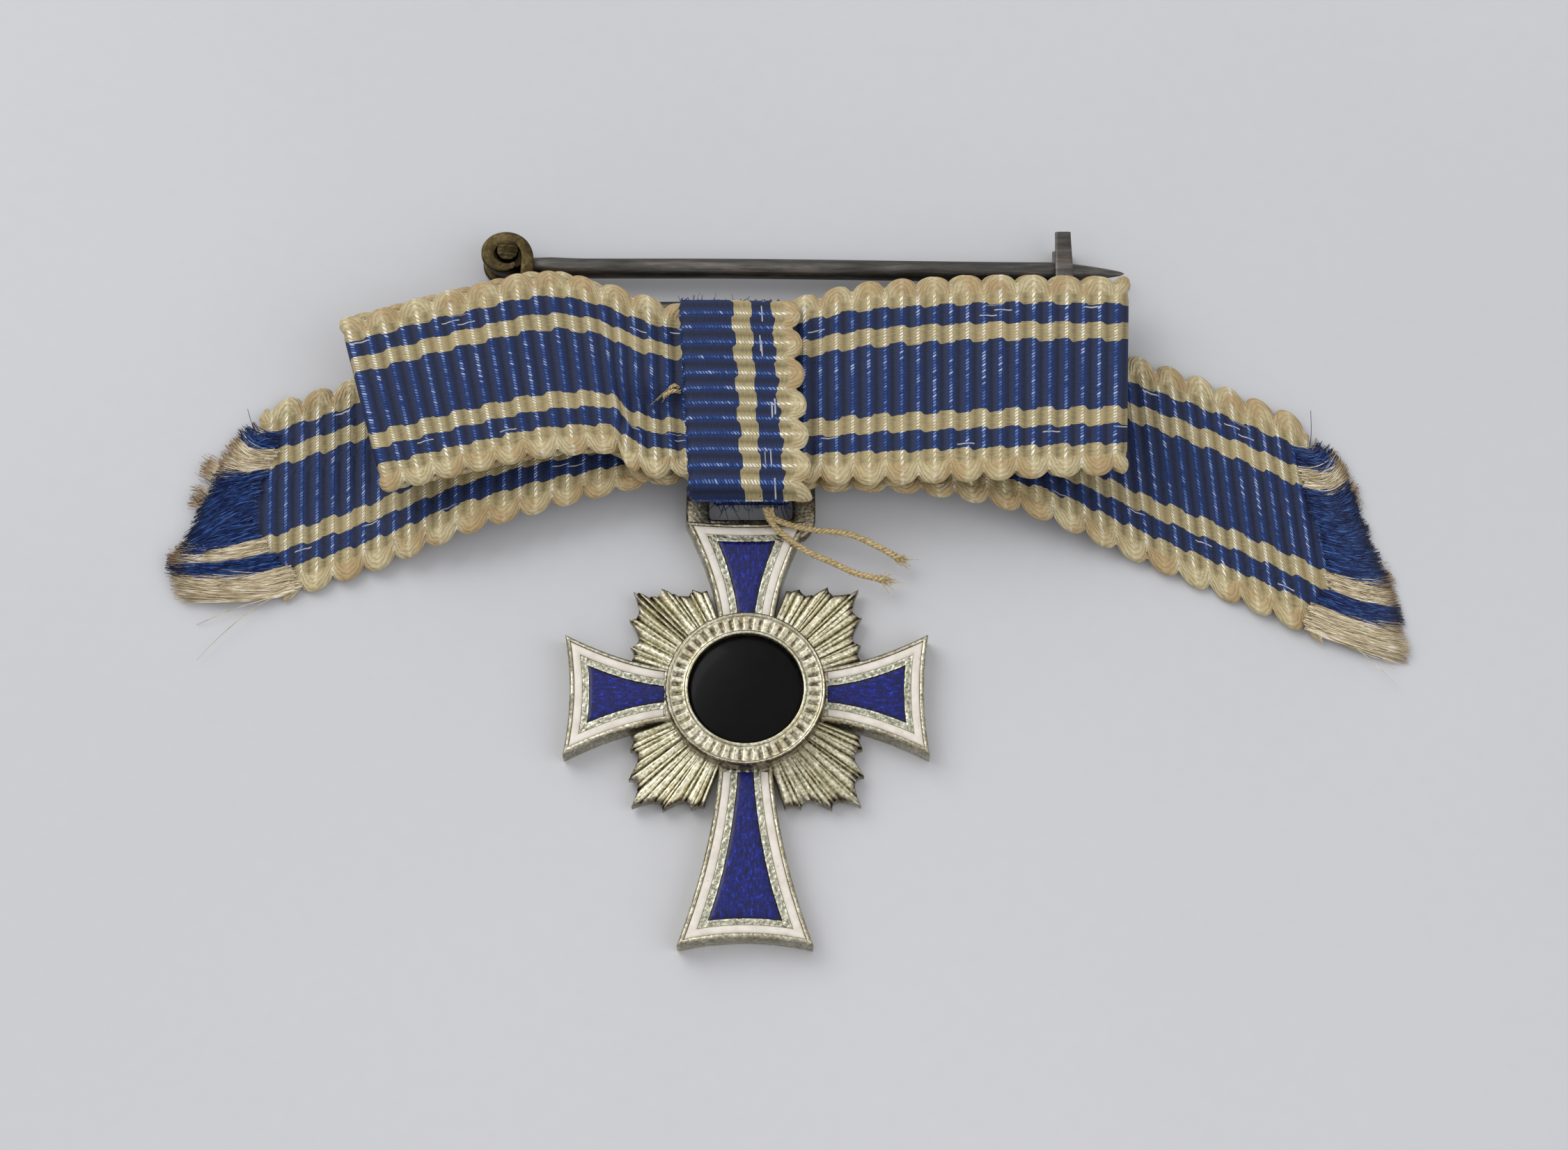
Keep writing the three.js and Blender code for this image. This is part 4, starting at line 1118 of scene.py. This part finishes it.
def notches(radius, angle, z, worn_and_shaded):
    """Plain radial notches all round the band between the rims."""
    spacing = 2 * math.pi / notch_count
    off = ((angle / spacing) % 1 - 0.5) * spacing * notch_middle
    along = smooth(0.3 - np.abs(radius - notch_middle), 0, 0.1)
    notch = (1 - smooth(np.abs(off), 0.06, 0.13)) * along * (z < ring_top - 0.11) * (z > ring_top - 0.13)
    return z - 0.07 * notch, np.clip(worn_and_shaded + 0.75 * notch, 0, 1.3)


ring = Parts()
revolved(ring, ring_profile, ring_wear, sides=notch_count * 12, ornament=notches)
ring_piece = ring.make("medallion_ring_notched", silver_bright, sharp_above=60)

disc = Parts()
disc_radius, disc_edge, disc_crown = 2.57, 1.8, 0.2
disc_profile = [(0.0, 1.24), (disc_radius, 1.24), (disc_radius, disc_edge - 0.06)]
disc_profile += [(disc_radius * k, disc_edge + disc_crown * (1 - k * k) - 0.03 * k ** 12)
                 for k in np.linspace(0.99, 0.0, 22)]
revolved(disc, disc_profile, 0.0, sides=96)
disc_piece = disc.make("medallion_disc_domed", dark_enamel, sharp_above=60)

rivet = Parts()
rivet_profile = [(0.0, 0.03), (0.3, 0.03), (0.4, 0.0), (0.45, 0.06), (0.45, 1.15), (0.0, 1.18)]
revolved(rivet, rivet_profile, 0.4, sides=48)
rivet_piece = rivet.make("medallion_rivet_turned", silver_bright)

# ---- Brooch pin ---------------------------------------------------------------------------


def worn_metal(name, dark, mid, bright, spot, rough=(0.3, 0.6), stretch=(1.0, 1.0, 1.0)):
    s = Shader(name, Metallic=1.0)
    point = s.node("ShaderNodeVectorMath", {0: s.place(), 1: stretch}, operation="MULTIPLY")
    fine = s.noise(point, 3.0, detail=6, roughness=0.65)
    cloud = s.noise(point, 0.7, detail=4, roughness=0.6)
    base = s.ramp(s.plus(s.times(fine, 0.6), s.times(cloud, 0.4)), [(0.3, dark), (0.5, mid), (0.72, bright)])
    base = s.mix(s.times(s.step(s.noise(point, 1.4, detail=4), 0.56, 0.72), 0.4), base, spot)
    # The attribute read here darkens towards the dark colour: real wear on most pieces, and painted shade on the lug's
    # recessed cheek and the scroll's side walls.
    base = s.mix(s.times(s.attribute("wear", out=2), 0.8), base, dark)
    return s.done(base, s.spread(fine, *rough), s.bump(fine, 0.00006, 0.6))


steel = worn_metal("oxidised_steel", colour(48, 47, 45), colour(84, 82, 79), colour(136, 132, 128),
                   colour(122, 94, 82), stretch=(0.12, 1.0, 1.0))
brass = worn_metal("aged_brass", colour(30, 26, 18), colour(66, 57, 37), colour(116, 102, 68),
                   colour(52, 47, 36))

bar_parts = Parts()
bar_x = np.linspace(-13.3, 13.4, 90)
bar_radii = np.full(90, brooch_radius) * (1 - 0.25 * smooth(bar_x, 13.2, 13.4) - 0.25 * (1 - smooth(bar_x, -13.3, -13.1)))
tube(bar_parts, np.stack([bar_x, brooch_y + 0.015 * np.sin(bar_x), np.full(90, brooch_z)], -1), bar_radii,
     sides=24, wear=0.1)
bar_piece = bar_parts.make("brooch_bar_wire", steel)

hinge_x, hinge_y = -13.3, 16.5
lug_radius, lug_low, lug_top = 1.25, 0.05, 1.8
slot_low, slot_high = 0.47, 1.37
lug = Parts()


scroll_route = Route([
    (0.93, -2.2), (0.93, -1.4), (0.93, -0.6), (0.9, -0.1), (0.68, 0.36), (0.3, 0.63), (-0.12, 0.69), (-0.55, 0.55),
    (-0.86, 0.2), (-0.9, -0.25), (-0.68, -0.64), (-0.3, -0.84), (0.08, -0.84), (0.36, -0.7)], count=700)
scroll_half = [0.32, 0.32, 0.32, 0.32, 0.3, 0.28, 0.28, 0.3, 0.33, 0.34, 0.32, 0.29, 0.25, 0.14]


def scroll_strip(low, high, start):
    """The strip that comes up from the bar and rolls round the rivet, between two heights."""
    distance = np.linspace(start, scroll_route.length, 110)
    middle, forward = scroll_route.at(distance), scroll_route.tangent(distance)
    sideways = np.stack([forward[:, 1], -forward[:, 0]], -1)
    half = np.interp(distance, np.linspace(0, scroll_route.length, len(scroll_half)), scroll_half)
    section_angle = np.linspace(0, 2 * math.pi, 28, endpoint=False)
    power = 0.5
    out = np.sign(np.cos(section_angle)) * np.abs(np.cos(section_angle)) ** power
    rise = np.sign(np.sin(section_angle)) * np.abs(np.sin(section_angle)) ** power
    plan = middle[:, None, :] + sideways[:, None, :] * (half[:, None] * out[None, :])[..., None]
    z = np.broadcast_to(((low + high) / 2 + (high - low) / 2 * rise)[None, :], plan.shape[:2])
    points = np.stack([hinge_x + plan[..., 0], hinge_y + plan[..., 1], z], -1)
    faces = quads(110, 28, around=True)
    faces += [tuple(range(27, -1, -1)), tuple(range(109 * 28, 110 * 28))]
    # The strip's side walls are darkened as painted shade.
    worn_and_shaded = np.broadcast_to(0.35 * np.abs(out) ** 6, plan.shape[:2])
    lug.add(points.reshape(-1, 3), [face[::-1] for face in faces], wear=worn_and_shaded.ravel())


def lug_web(low, high, radius):
    """The plain cheek inside the scroll, around the rivet, darkened all over as painted shade in its recess."""
    profile = [(0.53, low), (radius - 0.05, low), (radius, low + 0.05), (radius, high - 0.08),
               (radius - 0.08, high), (0.53, high)]
    angle = np.linspace(0, 2 * math.pi, 72, endpoint=False)[:, None]
    ring_r = np.array([r for r, _ in profile])[None, :]
    points = np.stack([hinge_x - 0.02 + ring_r * np.cos(angle), hinge_y - 0.05 + ring_r * np.sin(angle),
                       np.array([z for _, z in profile])[None, :] + 0 * angle], -1)
    columns = len(profile)
    faces = [(i * columns + j, ((i + 1) % 72) * columns + j, ((i + 1) % 72) * columns + (j + 1) % columns,
              i * columns + (j + 1) % columns) for i in range(72) for j in range(columns)]
    # The value 0.9 darkens the whole cheek as painted shade.
    lug.add(points.reshape(-1, 3), faces, wear=np.full(72 * columns, 0.9))


scroll_strip(slot_high, lug_top, 0.0)
scroll_strip(lug_low, slot_low, 0.0)
lug_web(slot_high, lug_top - 0.22, 0.95)
lug_web(lug_low, slot_low - 0.05, 0.95)
leg_low_y, leg_high_y = brooch_y + brooch_radius + 0.02, 15.5
rounded_box(lug, (hinge_x + 0.61, leg_low_y, lug_low + 0.02), (hinge_x + 1.25, leg_high_y, lug_top - 0.02),
            radius=0.14, wear=0.25)
lug_piece = lug.make("hinge_lug_scroll", brass, sharp_above=45)

hinge_rivet = Parts()
rivet_top = 1.88
sides, rings = 64, 22
angle = np.linspace(0, 2 * math.pi, sides, endpoint=False)[:, None]
share = np.linspace(0, 1, rings)[None, :]
radius = 0.49 * share + 0 * angle
x, y = radius * np.cos(angle), radius * np.sin(angle)
filed = 0.035 * np.abs(np.sin((y + x * 0.08) * 15))
z = rivet_top - 0.09 * share ** 4 - filed * (1 - smooth(share, 0.75, 0.95))
top = np.stack([hinge_x + x, hinge_y + y, z], -1)
under = top.copy()
under[..., 2] = lug_low + 0.03 * share ** 4
section = np.concatenate([top, under[:, ::-1]], axis=1)
columns = section.shape[1]
faces = []
for i in range(sides):
    m = (i + 1) % sides
    for j in range(columns - 1):
        faces.append((i * columns + j, i * columns + j + 1, m * columns + j + 1, m * columns + j))
hinge_rivet.add(section.reshape(-1, 3), faces,
                wear=np.concatenate([filed * 25 + 0 * share, np.full((sides, rings), 0.4)], axis=1).ravel())
hinge_rivet_piece = hinge_rivet.make("hinge_rivet_filed", brass, sharp_above=45)

stem_y, stem_z, stem_radius, stem_end, stem_taper = 16.05, 0.92, 0.48, 15.9, 3.2
stem = Parts()
stem_x = np.concatenate([np.linspace(-12.6, stem_end - stem_taper, 80), np.linspace(12.8, stem_end, 26)])
to_tip = np.clip((stem_end - stem_x) / stem_taper, 0, 1)
stem_radii = stem_radius * np.where(to_tip < 1, 0.04 + 0.96 * to_tip ** 0.62, 1.0)
stem_radii *= 1 - 0.1 * (1 - smooth(stem_x, -12.0, -11.2))
bow = -0.1 * smooth(stem_x, -12.4, -9.5) - 0.2 * smooth(stem_x, -5, 13)
tip_drop = -0.08 * smooth(stem_x, 12.8, 15.9)
tube(stem, np.stack([stem_x, stem_y + bow + tip_drop, np.full(len(stem_x), stem_z)], -1), stem_radii, sides=24,
     wear=0.0)
eye_profile_low, eye_profile_high = 0.52, 1.32
sides = 96
angle = np.linspace(0, 2 * math.pi, sides, endpoint=False)
loop = np.array([(0.54, eye_profile_low + 0.06), (0.6, eye_profile_low), (0.92, eye_profile_low),
                 (0.98, eye_profile_low + 0.12), (0.98, eye_profile_high - 0.12), (0.92, eye_profile_high),
                 (0.6, eye_profile_high), (0.54, eye_profile_high - 0.06)])
eye = np.stack([hinge_x + loop[None, :, 0] * np.cos(angle)[:, None],
                hinge_y + loop[None, :, 0] * np.sin(angle)[:, None],
                np.broadcast_to(loop[None, :, 1], (sides, len(loop)))], -1)
faces = []
for i in range(sides):
    m = (i + 1) % sides
    for j in range(len(loop)):
        k = (j + 1) % len(loop)
        faces.append((i * len(loop) + j, m * len(loop) + j, m * len(loop) + k, i * len(loop) + k))
stem.add(eye.reshape(-1, 3), faces, wear=np.full(eye[..., 0].size, 0.3))
stem_piece = stem.make("pin_stem_wire", steel, sharp_above=50)

# The catch: a strip bent over and under the stem.
catch_x, catch_half = 13.0, 0.42
catch_line = Route([(17.1, 0.27), (15.6, 0.25), (14.75, 0.27), (14.42, 0.5), (14.4, 0.92), (14.42, 1.34),
                    (14.75, 1.58), (15.6, 1.6), (16.6, 1.58), (17.5, 1.55)])
catch = Parts()
distance = np.linspace(0, catch_line.length, 90)
line, along = catch_line.at(distance), catch_line.tangent(distance)
normal = np.stack([-along[:, 1], along[:, 0]], -1)
section_angle = np.linspace(0, 2 * math.pi, 28, endpoint=False)
power = 0.35
across = catch_half * np.sign(np.cos(section_angle)) * np.abs(np.cos(section_angle)) ** power
through = 0.155 * np.sign(np.sin(section_angle)) * np.abs(np.sin(section_angle)) ** power
narrow = 1 - 0.12 * smooth(distance, catch_line.length - 2.0, catch_line.length)
points = np.stack([
    catch_x + across[None, :] * narrow[:, None],
    line[:, 0:1] + normal[:, 0:1] * through[None, :],
    line[:, 1:2] + normal[:, 1:2] * through[None, :]], -1)
faces = quads(90, 28, around=True)
faces += [tuple(range(27, -1, -1)), tuple(range(89 * 28, 90 * 28))]
catch.add(points.reshape(-1, 3), faces, wear=np.full(90 * 28, 0.2))
catch_piece = catch.make("catch_strip", steel, sharp_above=50)

# ---- Pieces on their bodies ---------------------------------------------------------------

on_body = [
    (loop_right, "bow", "bow_loop_right", "striped_ribbon"),
    (loop_left, "bow", "bow_loop_left", "striped_ribbon"),
    (tail_left, "bow", "tail_left", "striped_ribbon"),
    (tail_right, "bow", "tail_right", "striped_ribbon"),
    (fringe_left, "bow", "fringe_left", "striped_ribbon"),
    (fringe_right, "bow", "fringe_right", "striped_ribbon"),
    (band, "bow", "knot_band", "striped_ribbon"),
    (hanger, "bow", "hanger_ribbon", "striped_ribbon"),
    (fuzz, "bow", None, "striped_ribbon"),
    (stitch, "bow", "knot_stitch", "sewing_thread"),
    (lashing, "bow", "bar_lashing", "sewing_thread"),
    (cross_metal, "cross", "cross_body", "silvered_metal"),
    (ring_piece, "cross", "medallion_ring", "silvered_metal"),
    (disc_piece, "cross", "medallion_disc", "dark_enamel"),
    (rivet_piece, "cross", "medallion_rivet", "silvered_metal"),
    (bar_piece, "brooch", "brooch_bar", "oxidised_steel"),
    (lug_piece, "brooch", "hinge_lug", "aged_brass"),
    (hinge_rivet_piece, "brooch", "hinge_rivet", "aged_brass"),
    (catch_piece, "brooch", "catch_clip", "oxidised_steel"),
    (stem_piece, "pin", "pin_stem", "oxidised_steel"),
]
for arm, (white_piece, blue_piece) in enamel.items():
    on_body.append((white_piece, "cross", f"enamel_white_{arm}", "white_enamel"))
    on_body.append((blue_piece, "cross", f"enamel_blue_{arm}", "blue_enamel"))
for piece, body, node, slot in on_body:
    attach(piece, body)
    if node:
        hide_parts(node)

# The loose ends lift with the cross, and stay with the bow where they leave the band.
for piece, node in ((thread_upper, "thread_end_upper"), (thread_lower, "thread_end_lower")):
    low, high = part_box(node)
    middle_x, middle_z = (low.x + high.x) / 2, (low.z + high.z) / 2
    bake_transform(piece, "bow", "cross", start=(middle_x, high.y + 0.2 * mm, middle_z),
             end=(middle_x, high.y - 1.2 * mm, middle_z))
    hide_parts(node)

# ---- Floor and light ----------------------------------------------------------------------


def floor_material():
    s = Shader("pale_surface", Roughness=0.75, Specular_IOR_Level=0.25)
    point = s.place()
    cloud = s.noise(point, 0.012, detail=3)
    grain = s.noise(point, 1.1, detail=3)
    base = s.ramp(s.plus(s.times(cloud, 0.85), s.times(grain, 0.15)),
                  [(0.3, colour(178, 180, 184)), (0.7, colour(187, 188, 192))])
    return s.done(base, None, s.bump(grain, 0.00002, 0.2))


floor_size_m = 1.2
bpy.ops.mesh.primitive_grid_add(x_subdivisions=8, y_subdivisions=8, size=floor_size_m)
floor = bpy.context.object
floor.name = "floor"
floor.location.z = cad_low.z - 0.00002
floor.data.materials.append(floor_material())
floor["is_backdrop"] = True

world = bpy.data.worlds.new("world")
bpy.context.scene.world = world
world.use_nodes = True
sky = world.node_tree.nodes["Background"].inputs
sky["Color"].default_value = (0.995, 0.985, 0.985, 1.0)
sky["Strength"].default_value = 0.8


def area_light(name, place_m, size_m, watts, tint):
    data = bpy.data.lights.new(name, "AREA")
    data.size = size_m
    data.energy = watts
    data.color = tint
    lamp = bpy.data.objects.new(name, data)
    bpy.context.scene.collection.objects.link(lamp)
    lamp.location = place_m
    lamp.rotation_euler = (-Vector(place_m)).to_track_quat("-Z", "Y").to_euler()


area_light("key", (-0.30, 0.26, 0.36), 0.40, 1.7, (1.0, 0.985, 0.96))
area_light("fill", (0.34, -0.16, 0.32), 0.40, 0.6, (0.97, 0.98, 1.0))

low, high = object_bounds()
